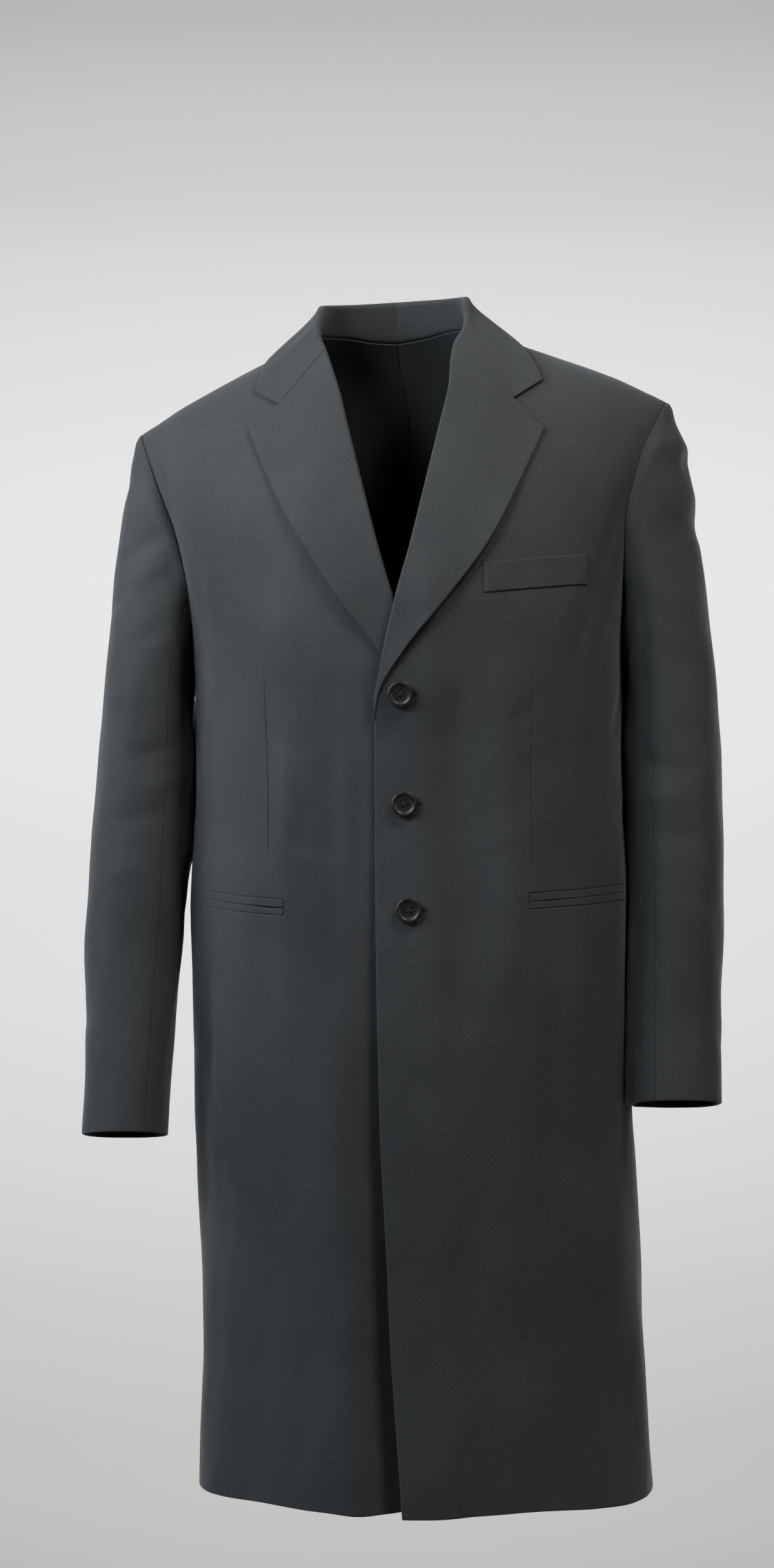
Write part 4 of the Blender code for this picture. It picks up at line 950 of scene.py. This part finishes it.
def sleeve_grid(side, turn):
    """Middle points and outward directions of a whole sleeve at the wanted turns."""
    edge, outward, beyond = armhole_loop(side, turn)
    heading = sleeve_heading(side, turn)
    start, facing = start_at_seam(edge, outward, beyond, heading)
    biceps = tube(side, turn, np.full(len(turn), BICEPS_Z))
    below = tube(side, turn, np.full(len(turn), BICEPS_Z - FINE_STEP))
    span = np.linalg.norm(biceps - start, axis=-1, keepdims=True)
    leave = heading * np.clip(CAP_LEAVE * span, *CAP_LEAVE_LIMITS)
    arrive = unit(below - biceps) * span * CAP_ARRIVE
    share = np.linspace(0, 1, SLEEVE_SAMPLES)[:, None, None]
    cap = hermite(start, biceps, leave, arrive, share)
    level = np.linspace(BICEPS_Z, SLEEVES[side][-1][0], SLEEVE_SAMPLES)[1:, None]
    lines = np.swapaxes(np.concatenate((cap, tube(side, turn, level))), 0, 1)
    travel = travelled(lines)
    places = joined(EDGE_STEPS, travel[:, -1:] - EDGE_STEPS[::-1])
    middle = np.array([[np.interp(wanted, known, axis) for axis in line.T]
                       for wanted, known, line in zip(places, travel, lines)])
    middle = np.moveaxis(middle, -1, 0)
    from_seam = places.T
    above = 1 - smoothstep(*HEAD_OUTSIDE, np.abs(half_turn(turn)))
    roll = HEAD_ROLL * np.sin(np.clip(from_seam / HEAD_ROLL_REACH, 0, 1) * math.pi)
    pucker = puckered(from_seam, turn * HEAD_PUCKER_STEP)
    out = (sleeve_fold(side, turn, middle[..., 2]) * smoothstep(0, SLEEVE_FOLDS_FROM, from_seam)
           + roll * mix(HEAD_ROLL_UNDER, 1, above) + pucker * (1 - HEAD_PUCKER_LESS * above))
    middle = beside_body(side, middle + ring_normals(middle, side) * out[..., None], from_seam)
    own = smoothstep(0, SEAM_TURN, from_seam)[..., None]
    return middle, unit(mix(facing, ring_normals(middle, side), own))


def build_sleeve(side, material):
    """Top and under halves, parted by the front seam and the back seam."""
    front_seam, back_seam = SLEEVE_SEAMS[side]
    degrees = 1 / MM_PER_DEGREE["sleeve"]
    in_from = (SEAM_GAP / 2 + EDGE_STEPS) * degrees
    halves = [joined(first + in_from, last - in_from[::-1], step=PANEL_STEP * degrees)[0]
              for first, last in ((back_seam - 360, front_seam), (front_seam, back_seam))]
    middle, normals = sleeve_grid(side, np.concatenate(halves))
    parts = [np.split(grid, [len(halves[0])], axis=1) for grid in (middle, normals)]
    for half_name, points, outward in zip(("top", "under"), *parts):
        add_cloth(*sided_names(f"{half_name}_sleeve", side), points, outward, material)


# Lapels

def lapel_out(side, across, z):
    """How far a lapel stands off the front, which grows towards its free edge."""
    height, low, high = LAPEL_LIFT[side]
    along = smoothstep(low, high, z) * (1 - smoothstep(*LAPEL_LIFT_FADE, z))
    return height * along * across ** 2


def gorge_rise(side):
    return float(front_place(*GORGE_START[side])[1])


def lapel_rises(side):
    """Rises of the lapel's rows, close together at its foot and at its top."""
    rise = np.linspace(LAPEL_FOOT_Z - UNDERARM_Z, gorge_rise(side), LINE_SAMPLES)
    travel = travelled(front_point(side, front_inner_angle(side, rise), rise)[0])
    places = joined(EDGE_STEPS, travel[-1] - SEAM_GAP / 2 - EDGE_STEPS[::-1],
                    step=LAPEL_STEPS[0])[0]
    return np.interp(places, travel, rise)


def part_places(corner, span, step):
    """Shares across a lapel or a fall: close at its start and its edge, one at its corner."""
    return joined(np.array((0, FIRST_PART)), np.array((corner,)), 1 - EDGE_STEPS[::-1] / span,
                  step=step)[0]


def lapel_places(side, rise, across):
    """x and z of the lapel's grid, and z of its roll line."""
    corner, notch = LAPEL_CORNER[side], NOTCH[side]
    roll_x, roll_z = seen_at(front_inner_angle(side, rise), rise)
    share = (roll_z - roll_z[0]) / (roll_z[-1] - roll_z[0])
    edge_z = mix(LAPEL_FOOT_Z, corner[1], share)
    edge_x = sided(LAPEL_EDGE + ((corner[1], corner[0], corner[0]),))(side, edge_z)
    bend = smoothstep(LAPEL_TOP_BEND, 1, share)[:, None]
    grid = []
    for roll, edge, axis in ((roll_x, edge_x, 0), (roll_z, edge_z, 1)):
        top = np.interp(across, (0, NOTCH_SHARE, 1), (roll[-1], notch[axis], corner[axis]))
        grid.append(mix(roll[:, None], edge[:, None], across)
                    + bend * (top - mix(roll[-1], edge[-1], across)))
    return (*grid, roll_z)


def build_lapel(side, material):
    """Half circle of the roll, then the part that lies on the front, in each row."""
    across = part_places(NOTCH_SHARE, LAPEL_SPAN, LAPEL_STEPS[1])
    x, z, roll_z = lapel_places(side, lapel_rises(side), across)
    thin = smoothstep(LAPEL_FOOT_Z, LAPEL_FULL_Z, roll_z)[:, None]
    radius = mix(LAPEL_FOOT_RADIUS, ROLL_RADIUS, thin)
    points, outward = seen_front(side, x, z)
    flat = points + outward * (2 * radius + lapel_out(side, across, z))[..., None]
    notch_column = int(np.argmin(np.abs(across - NOTCH_SHARE)))
    beyond = square_to(points[:, 0] - points[:, notch_column], outward[:, 0])[:, None]
    turn = np.linspace(0, math.pi, LAPEL_TURNS)[:, None]
    radius = radius[:, None]
    ahead = ROLL_LEAD * thin[:, None] + radius * np.sin(turn)
    ahead[:, 0] = SEAM_GAP
    out = outward[:, None, 0]
    rolled = points[:, None, 0] + beyond * ahead + out * radius * (1 - np.cos(turn))
    facing = out * np.cos(turn) - beyond * np.sin(turn)
    add_cloth(*sided_names("lapel", side), np.concatenate((rolled, flat[:, 1:]), axis=1),
              np.concatenate((facing, -outward[:, 1:]), axis=1), material,
              thickness=mix(LAPEL_FOOT_CLOTH, CLOTH, thin))


# Collar

def neck_seam(side):
    """Seam points from the back centre over the shoulder to the gorge, with directions."""
    back = np.linspace(BACK_NECK[0][0], 90, SEAM_SAMPLES)
    front = np.linspace(90, gorge_rise(side), SEAM_SAMPLES)[1:]
    rise = np.concatenate((back, front))
    angle = side * np.concatenate((back_inner_angle(back), front_inner_angle(side, front)))
    travel = travelled(body(angle, rise))
    places = joined(COLLAR_START, travel[-1] - SEAM_GAP / 2 - EDGE_STEPS[::-1],
                    step=COLLAR_STEPS[0])[0]

    def at(place, surface=body):
        return surface(np.interp(place, travel, angle), np.interp(place, travel, rise))

    outward = at(places, body_normal)
    along = at(places + FINE_STEP) - at(places - FINE_STEP)
    return places / travel[-1], at(places), outward, side * unit(np.cross(along, outward))


def collar_half(side):
    """Half of the collar from the back centre: stand, fold and fall in each row."""
    share, edge, outward, beyond = neck_seam(side)
    forced = smoothstep(*COLLAR_FORCED, share)[:, None]
    hooked = smoothstep(*COLLAR_HOOK, share)[:, None]
    gorge, gorge_out = seen_front(side, *GORGE_START[side])
    ahead = square_to(gorge - seen_front(side, *NOTCH[side])[0], gorge_out)
    beyond = unit(mix(beyond, ahead, forced))
    outward = unit(mix(outward, gorge_out, forced))
    radius = mix(COLLAR_RADIUS, ROLL_RADIUS, hooked)
    folded = posed(through(COLLAR_FOLD)(share) * np.array((side, 1, 1)))
    rolled = edge + beyond * (ROLL_LEAD + radius) + outward * radius
    fold = mix(folded, rolled, hooked)
    along = np.gradient(fold, share, axis=0)
    along[0] = np.array((side, 0, 0)) * np.linalg.norm(along[0])
    along = unit(along)
    inwards = -unit(fold * np.array((1, 1, 0)) - NECK_CENTRE)
    up = unit(mix(UPRIGHT + STAND_LEAN * inwards, beyond, hooked))
    up = unit(mix(square_to(up, along), ahead, forced))
    out = unit(mix(side * unit(np.cross(up, along)), gorge_out, forced))
    centre = fold - radius * up
    roll_start = centre - radius * out
    heading = unit(mix(unit(roll_start - edge), beyond, hooked))
    start, facing = start_at_seam(edge, outward, beyond, heading)
    columns, known = [], []
    for part in np.linspace(0, 1, COLLAR_STAND_COLUMNS, endpoint=False):
        columns.append(mix(start, roll_start, part))
        known.append(mix(facing, out, part))
    for turn in np.linspace(math.pi, 0, COLLAR_FOLD_COLUMNS, endpoint=False):
        spoke = math.cos(turn) * out + math.sin(turn) * up
        columns.append(centre + radius * spoke)
        known.append(-spoke)
    parts = part_places(GORGE_PART, COLLAR_SPAN, COLLAR_STEPS[1])
    fall = collar_fall(side, share, centre + radius * out, up, parts)
    known = unit(np.stack(known + [-out] * len(parts), 1))
    middle = np.concatenate((np.stack(columns, 1), fall), axis=1)
    return middle, collar_normals(side, middle, known, len(columns), forced, parts)


def collar_normals(side, middle, known, turned, forced, parts):
    """Directions known up to the fold, then the grid's own, and the gorge's at the end."""
    normals = side * unit(np.cross(np.gradient(middle, axis=1), np.gradient(middle, axis=0)))
    if np.mean(np.sum(normals[:, turned - 1] * known[:, turned - 1], -1)) < 0:
        normals = -normals
    settle = smoothstep(0, COLLAR_SETTLE, np.arange(middle.shape[1]) - turned)[:, None]
    normals = unit(mix(known, normals, settle))
    end_out = -collar_end(side, parts)[1]
    fall = unit(mix(normals[:, turned:], end_out, forced[:, None]))
    return np.concatenate((normals[:, :turned], fall), 1)


def shoulder_point(side, x, over):
    """Surface point at a width x, where over runs from the back over the shoulder forwards."""
    rise = np.where(over <= 90, over, 180 - over)
    angle = angle_at(x, rise)
    angle = side * np.where(over <= 90, 180 - angle, angle)
    return body(angle, rise), body_normal(angle, rise)


def stretched(table, share, end_rise):
    """x and place over the shoulder, whose front part is scaled to end at end_rise."""
    x, over = np.moveaxis(through(table)(share), -1, 0)
    scale = (90 - end_rise) / (over[-1] - 90)
    return x, over + np.maximum(over - 90, 0) * (scale - 1)


def collar_fall(side, share, top, up, parts):
    """Points of the collar from its fold down to its edge, kept clear of the coat below."""
    seam_x, seam_over = stretched(COLLAR_SEAM, share, gorge_rise(side))
    corner_rise = float(front_place(*COLLAR_CORNER[side])[1])
    edge_x, edge_over = stretched(COLLAR_EDGE, share, corner_rise)
    foot, foot_out = shoulder_point(side, edge_x, edge_over)
    foot = foot + foot_out * COLLAR_CLEAR
    drop = np.linalg.norm(foot - top, axis=-1, keepdims=True)
    columns = []
    for part in parts:
        free = hermite(top, foot, -up * drop * COLLAR_DROP, (foot - top) * COLLAR_SPREAD, part)
        below, below_out = shoulder_point(side, mix(seam_x, edge_x, part),
                                          mix(seam_over, edge_over, part))
        height = np.sum((free - below) * below_out, -1, keepdims=True)
        needed = mix(2 * ROLL_RADIUS, COLLAR_CLEAR, part)
        columns.append(free + below_out * np.maximum(needed - height, 0))
    fall = np.stack(columns, 1)
    change = (collar_end(side, parts)[0] - fall[-1]) * (parts > 0)[:, None]
    return fall + change * smoothstep(COLLAR_END_FROM, 1, share)[:, None, None]


def collar_end(side, parts):
    """Points of the collar's end edge, along the gorge and then the notch, and directions."""
    corners = np.array((GORGE_START[side], NOTCH[side], COLLAR_CORNER[side])).T
    points, outward = seen_front(side, *[np.interp(parts, (0, GORGE_PART, 1), axis)
                                         for axis in corners])
    return points + outward * 2 * ROLL_RADIUS, outward


def build_collar(material):
    right, left = collar_half(-1), collar_half(1)
    middle, outward = [np.concatenate((half[::-1], other[1:]))
                       for half, other in zip(right, left)]
    add_cloth("collar_cloth", "collar", middle, outward, material)


# Welt and jets

def add_strip(names, side, x, z, rise, thickness, material):
    """Flat trim that follows the front's surface, its back that far over the front's face."""
    points, outward = seen_front(side, x, z)
    lift = np.broadcast_to(CLOTH / 2 + rise + thickness / 2, z.shape)
    add_cloth(*names, points + outward * lift[..., None], outward, material, thickness=thickness)


def build_welt(material):
    low_in, low_out, high_out, high_in = WELT
    width, height = low_out[0] - low_in[0], high_in[1] - low_in[1]
    across = joined(EDGE_STEPS, np.arange(*WELT_STITCHES[0]),
                    (width - np.arange(*WELT_STITCHES[1]))[::-1], width - EDGE_STEPS[::-1],
                    step=TRIM_STEP) / width
    up = joined(EDGE_STEPS, height - EDGE_STEPS[::-1], step=TRIM_STEP).T / height
    x, z = [mix(mix(low_in[axis], low_out[axis], across),
                mix(high_in[axis], high_out[axis], across), up) for axis in (0, 1)]
    mouth = WELT_LIP * smoothstep(WELT_LIP_FROM, 1, up) * np.sin(across * math.pi)
    pressed = sum(WELT_PRESS * np.exp(-((across * width - place) / WELT_PRESS_WIDTH) ** 2)
                  for place in (WELT_SEWN[0], width - WELT_SEWN[1]))
    add_strip(("welt_cloth", "breast_pocket_welt"), 1, x, z, WELT_RISE + mouth - pressed,
              WELT_CLOTH, material)


def build_jets(side, material):
    near, far, level = mouth_line(side)
    per_degree = MM_PER_DEGREE["body"]
    width = (far - near) * per_degree
    angle = near + joined(EDGE_STEPS, width - EDGE_STEPS[::-1], step=JET_STEPS[0]) / per_degree
    x = seen_at(angle, JET_MOUTH[side][0][1] - UNDERARM_Z)[0]
    up = joined(EDGE_STEPS[:5], JET_HEIGHT - SEAM_GAP / 2 - EDGE_STEPS[4::-1],
                step=JET_STEPS[1]).T
    upper = SEAM_GAP / 2 + up
    lower = up - JET_HEIGHT - gape(side, x) * smoothstep(0, JET_HEIGHT - SEAM_GAP / 2, up)
    for jet_name, off in (("upper", upper), ("lower", lower)):
        name, node = sided_names(f"jet_{jet_name}", side)
        add_strip((name, f"hip_pocket_{node}"), side, x, level(angle) + off, JET_RISE, JET_CLOTH,
                  material)


# Buttons and sewing

def button_frame(x, z):
    """Point on the left front with its across, upright and outward directions."""
    point, outward = seen_front(1, x, z)
    across = unit(np.cross(outward, UPRIGHT))
    return point + outward * (CLOTH / 2 + SEAM_GAP), across, np.cross(across, outward), outward


def placed(frame_at, offsets):
    point, *directions = frame_at
    return point + offsets @ np.array(directions)


def hole_places(spin):
    turn = np.radians(spin + np.array((0, 90, 180, 270)))
    return BUTTON_HOLES * np.stack((np.cos(turn), np.sin(turn)), -1)


def button_shape(holes):
    """Grid of offsets across, upright and outwards, one row for each turn of the profile."""
    smooth = through([(k, *row) for k, row in enumerate(BUTTON_FACE)])
    rim = smooth(np.arange(0, len(BUTTON_FACE) - 1 + BUTTON_SHARE / 2, BUTTON_SHARE))
    rim[:BUTTON_BACK, 1] = np.maximum(rim[:BUTTON_BACK, 1], 0)
    dish = [(out, BUTTON_FACE[-1][1]) for out in np.arange(*BUTTON_DISH)]
    out, height = np.concatenate((rim, dish)).T
    turn = (np.arange(BUTTON_SIDES) * 2 * math.pi / BUTTON_SIDES)[:, None]
    shape = np.stack(np.broadcast_arrays(np.cos(turn) * out, np.sin(turn) * out, height), -1)
    away = np.linalg.norm(shape[..., None, :2] - holes, axis=-1).min(axis=-1)
    hole = 1 - smoothstep(*BUTTON_HOLE_EDGE, away)
    face_up = np.arange(len(out)) >= len(rim) - BUTTON_FACE_UP
    shape[..., 2] -= np.where(face_up, hole * BUTTON_HOLE_DEPTH, 0)
    return shape


def build_button(name, x, z, horn, thread):
    """Dished button with a raised rim, four thread holes and its thread."""
    holes, at = hole_places(BUTTON_SPIN[name]), button_frame(x, z)
    shape = button_shape(holes)
    index = np.arange(shape[..., 0].size).reshape(shape.shape[:2])
    faces = grid_quads(closing(index).T).tolist()
    faces += [index[::-1, 0].tolist(), index[:, -1].tolist()]
    item = add_piece(f"button_horn_{name}", placed(at, shape).reshape(-1, 3), faces, horn,
                     f"button_{name}")
    turn_outwards(item)
    build_thread(name, at, holes, thread)


def turn_outwards(item):
    work = bmesh.new()
    work.from_mesh(item.data)
    bmesh.ops.recalc_face_normals(work, faces=work.faces)
    work.to_mesh(item.data)
    work.free()


def rope(path, radius, sides=8, closed=False):
    """Vertices and faces of a tube along a path, whose radius may change along it."""
    count = len(path)
    ahead = np.roll(path, -1, 0) - np.roll(path, 1, 0) if closed else np.gradient(path, axis=0)
    ahead = unit(ahead)
    side = unit(np.cross(ahead, ROPE_ASIDE))
    top = np.cross(side, ahead)
    turn = (np.arange(sides) * 2 * math.pi / sides)[:, None]
    radius = np.broadcast_to(radius, (count,))[:, None, None]
    ring = np.cos(turn) * side[:, None] + np.sin(turn) * top[:, None]
    index = np.arange(count * sides).reshape(count, sides)
    ends = [] if closed else [index[0].tolist(), index[-1, ::-1].tolist()]
    index = closing(closing(index) if closed else index, 1)
    return (path[:, None] + ring * radius).reshape(-1, 3), grid_quads(index.T).tolist() + ends


def add_ropes(name, ropes, material):
    """One mesh of several tubes."""
    faces, base = [], 0
    for points, quads in ropes:
        faces += [[k + base for k in quad] for quad in quads]
        base += len(points)
    vertices = np.concatenate([points for points, _ in ropes])
    turn_outwards(add_piece(name, vertices, faces, material))


def build_thread(name, at, holes, material):
    """Strands that cross from hole to hole on the button's face."""
    middle, end, upper = THREAD_BOW
    share = np.linspace(0, 1, THREAD_PLACES)[:, None]
    ropes = []
    for first, second in ((0, 2), (1, 3)):
        run = mix(holes[first], holes[second], share)
        across = unit((holes[second] - holes[first])[::-1] * np.array((1, -1)))
        rise = middle * np.sin(share * math.pi) ** 0.5 + end + upper * (first > 0)
        for beside in THREAD_STRANDS:
            offsets = np.concatenate((run + across * beside, BUTTON_FACE[-1][1] + rise), axis=1)
            ropes.append(rope(placed(at, offsets), THREAD_RADIUS))
    add_ropes(f"button_thread_{name}", ropes, material)


def build_buttonhole(name, x, z, material):
    """Stitched oval that a button's shank comes through, with its end past the button."""
    start, end, half_height = BUTTONHOLE
    turn = np.linspace(0, 2 * math.pi, BUTTONHOLE_STITCHES * 4, endpoint=False)
    across = (start + end) / 2 + (end - start) / 2 * blunted(np.cos(turn), BUTTONHOLE_BLUNT[0])
    up = half_height * blunted(np.sin(turn), BUTTONHOLE_BLUNT[1])
    points, outward = seen_front(1, x + across, z + up)
    path = points + outward * (CLOTH / 2 + BUTTONHOLE_SEAT)
    thin, more = BUTTONHOLE_THREAD
    stitch = thin + more * np.abs(np.sin(np.arange(len(turn)) * math.pi / 4))
    add_ropes(f"buttonhole_{name}", [rope(path, stitch, sides=10, closed=True)], material)


def build_armhole_seam(side, material):
    """Sewing that closes the seam between a sleeve and the body all round."""
    turn = np.arange(0, 360, SEAM_TURN_STEP)
    edge, outward, beyond = armhole_loop(side, turn)
    level, reach, size = SEAM_SWELL
    swell = size * np.exp(-((edge[:, 2] - level) / reach) ** 2) * (turn < 180)
    path = edge + outward * (SEAM_SEAT[0] + swell)[:, None] + beyond * SEAM_SEAT[1]
    seam = rope(path, SEAM_STITCH + swell, sides=6, closed=True)
    add_ropes(f"armhole_seam_{SIDE_NAMES[side]}", [seam], material)


# Materials

class Nodes:
    """A new material with short ways to add its shader nodes and link them."""

    def __init__(self, name):
        self.material = bpy.data.materials.new(name)
        self.material.use_nodes = True
        self.tree = self.material.node_tree
        self.place = self.add("ShaderNodeTexCoord").outputs["Object"]

    def add(self, kind, **values):
        node = self.tree.nodes.new(kind)
        for key, value in values.items():
            setattr(node, key, value)
        return node

    def put(self, socket, value):
        if isinstance(value, bpy.types.NodeSocket):
            self.tree.links.new(value, socket)
        else:
            socket.default_value = value

    def set(self, node, **inputs):
        """Give a node its inputs and return its first output."""
        for key, value in inputs.items():
            self.put(node.inputs[key.replace("_", " ")], value)
        return node.outputs[0]

    def finish(self, **inputs):
        self.set(self.tree.nodes["Principled BSDF"], **inputs)
        return self.material

    def math(self, operation, first, second=0.0):
        node = self.add("ShaderNodeMath", operation=operation)
        self.put(node.inputs[0], first)
        self.put(node.inputs[1], second)
        return node.outputs[0]

    def total(self, *terms):
        """Sum of values, each given with its weight."""
        result, *others = [self.math("MULTIPLY", value, weight) for value, weight in terms]
        for other in others:
            result = self.math("ADD", result, other)
        return result

    def wave(self, value, length):
        return self.math("SINE", self.math("MULTIPLY", value, 2 * math.pi / length))

    def noise(self, vector, scale, detail=2.0):
        node = self.add("ShaderNodeTexNoise")
        self.set(node, Vector=vector, Scale=scale, Detail=detail)
        return node.outputs["Fac"]

    def stretched(self, vector, scale, turn=0.0):
        return self.set(self.add("ShaderNodeMapping"), Vector=vector, Scale=scale,
                        Rotation=(0, 0, turn))

    def split(self, vector):
        node = self.add("ShaderNodeSeparateXYZ")
        self.set(node, Vector=vector)
        return node.outputs

    def bump(self, strength, distance, height):
        return self.set(self.add("ShaderNodeBump"), Strength=strength, Distance=distance,
                        Height=height)

    def ramp(self, factor, stops):
        node = self.add("ShaderNodeValToRGB")
        self.put(node.inputs[0], factor)
        elements = node.color_ramp.elements
        while len(elements) < len(stops):
            elements.new(0.5)
        for element, (place, colour) in zip(elements, stops):
            element.position, element.color = place, (*colour, 1)
        return node.outputs[0]


def wool_material():
    """Charcoal worsted: fine diagonal weave, mixed yarns and a soft uneven tone."""
    nodes = Nodes("wool_worsted")
    cloth = nodes.add("ShaderNodeAttribute", attribute_name="cloth").outputs["Vector"]
    across, up = nodes.split(cloth)[:2]
    diagonal = nodes.math("ADD", nodes.math("MULTIPLY", across, TWILL_SLANT), up)
    twill, yarn = nodes.wave(diagonal, TWILL_PITCH), nodes.wave(across, YARN_PITCH)
    warp = nodes.noise(nodes.stretched(cloth, WARP_GRAIN), 1.0)
    weft = nodes.noise(nodes.stretched(cloth, WEFT_GRAIN), 1.0)
    fleck = nodes.noise(cloth, FLECK_GRAIN, 3.0)
    broad = nodes.math("SUBTRACT", nodes.noise(nodes.place, BROAD_GRAIN, 3.0), 0.5)
    tone = nodes.total((warp, 0.45), (weft, 0.3), (fleck, 0.25), (twill, 0.02), (broad, 0.3))
    height = nodes.total((twill, 0.5), (yarn, 0.25), (fleck, 1.2))
    return nodes.finish(Base_Color=nodes.ramp(tone, WOOL_TONES), Roughness=0.82,
                        Sheen_Weight=0.22, Sheen_Roughness=0.45,
                        Sheen_Tint=(0.80, 0.88, 1.0, 1.0), Specular_IOR_Level=0.25,
                        Normal=nodes.bump(0.35, 0.00012, height))


def thread_material():
    nodes = Nodes("thread_dark")
    strand = nodes.noise(nodes.place, STRAND_GRAIN)
    return nodes.finish(Base_Color=nodes.ramp(strand, THREAD_TONES), Roughness=0.6,
                        Normal=nodes.bump(0.4, 0.0001, strand))


def horn_material():
    """Dark polished horn with faint streaks."""
    nodes = Nodes("horn_dark")
    streak = nodes.noise(nodes.stretched(nodes.place, *STREAK_GRAIN), 1.0, 3.0)
    fine = nodes.noise(nodes.place, HORN_GRAIN)
    tone = nodes.total((streak, 0.8), (fine, 0.2))
    rough = nodes.math("ADD", nodes.math("MULTIPLY", fine, 0.14), 0.32)
    return nodes.finish(Base_Color=nodes.ramp(tone, HORN_TONES), Roughness=rough,
                        Specular_IOR_Level=0.35, Normal=nodes.bump(0.12, 0.0001, fine))


def paper_material():
    """Studio paper whose grey carries painted light: a pool of light a little below its middle,
    and painted shade towards its top and its foot.

    Only its front shows, so the coat can be seen from behind it.
    """
    nodes = Nodes("studio_paper_painted_light")
    height = nodes.math("ADD", nodes.math("MULTIPLY", nodes.split(nodes.place)[2], 1 / PAPER_SPAN),
                        -PAPER_FOOT / PAPER_SPAN)
    back = nodes.add("ShaderNodeNewGeometry").outputs["Backfacing"]
    # The colour ramp by height paints light and shade onto the paper.
    return nodes.finish(Base_Color=nodes.ramp(height, PAPER_PAINTED_LIGHT), Roughness=0.9,
                        Alpha=nodes.math("SUBTRACT", 1.0, back))


# Stage, light and camera

def build_stage():
    """Floor that curves up into a backdrop behind the coat."""
    profile = [(FLOOR_FRONT, FLOOR_Z), (BACKDROP_Y - COVE, FLOOR_Z)]
    for turn in np.linspace(0, math.pi / 2, COVE_PARTS + 1)[1:]:
        profile.append((BACKDROP_Y - COVE + COVE * math.sin(turn),
                        FLOOR_Z + COVE - COVE * math.cos(turn)))
    profile.append((BACKDROP_Y, BACKDROP_TOP))
    vertices = [(x, y, z) for y, z in profile for x in (-STAGE_HALF, STAGE_HALF)]
    faces = [(2 * k, 2 * k + 1, 2 * k + 3, 2 * k + 2) for k in range(len(profile) - 1)]
    smooth_item("studio", vertices, faces, paper_material())


def build_light():
    """Area lights, and a faint air that looks an even grey to the camera."""
    for name, place, target, size, spread, power, colour in LIGHTS:
        data = bpy.data.lights.new(name, "AREA")
        data.shape = "RECTANGLE"
        data.size, data.size_y = size
        data.spread = math.radians(spread)
        data.energy, data.color = power, colour
        item = linked(name, data)
        item.location = place
        direction = Vector(target) - item.location
        item.rotation_euler = direction.to_track_quat("-Z", "Y").to_euler()
    world = bpy.data.worlds.new("studio_air")
    bpy.context.scene.world = world
    world.use_nodes = True
    background = world.node_tree.nodes["Background"]
    background.inputs["Color"].default_value = (*AIR_COLOUR, 1)
    seen = world.node_tree.nodes.new("ShaderNodeLightPath").outputs["Is Camera Ray"]
    strength = world.node_tree.nodes.new("ShaderNodeMapRange")
    strength.inputs["To Min"].default_value = AIR_STRENGTH
    strength.inputs["To Max"].default_value = AIR_SEEN
    world.node_tree.links.new(seen, strength.inputs["Value"])
    world.node_tree.links.new(strength.outputs["Result"], background.inputs["Strength"])


def build_camera():
    data = bpy.data.cameras.new("camera")
    data.sensor_fit = "VERTICAL"
    data.sensor_height = SENSOR
    data.lens = FOCAL_PIXELS / IMAGE_HEIGHT * SENSOR
    item = linked("camera", data)
    item.location = CAMERA_PLACE
    item.rotation_euler = (math.pi / 2 - CAMERA_TIP, 0, 0)
    bpy.context.scene.camera = item


# The whole coat


def build_coat():
    wool, thread, horn = wool_material(), thread_material(), horn_material()
    for side in SIDE_NAMES:
        for build in (build_front, build_back, build_sleeve, build_lapel, build_jets):
            build(side, wool)
        build_armhole_seam(side, thread)
    build_collar(wool)
    build_welt(wool)
    for name, x, z in BUTTON_PLACES:
        build_button(name, x, z, horn, thread)
        build_buttonhole(name, x, z, thread)


build_camera()
build_light()
build_stage()
build_coat()
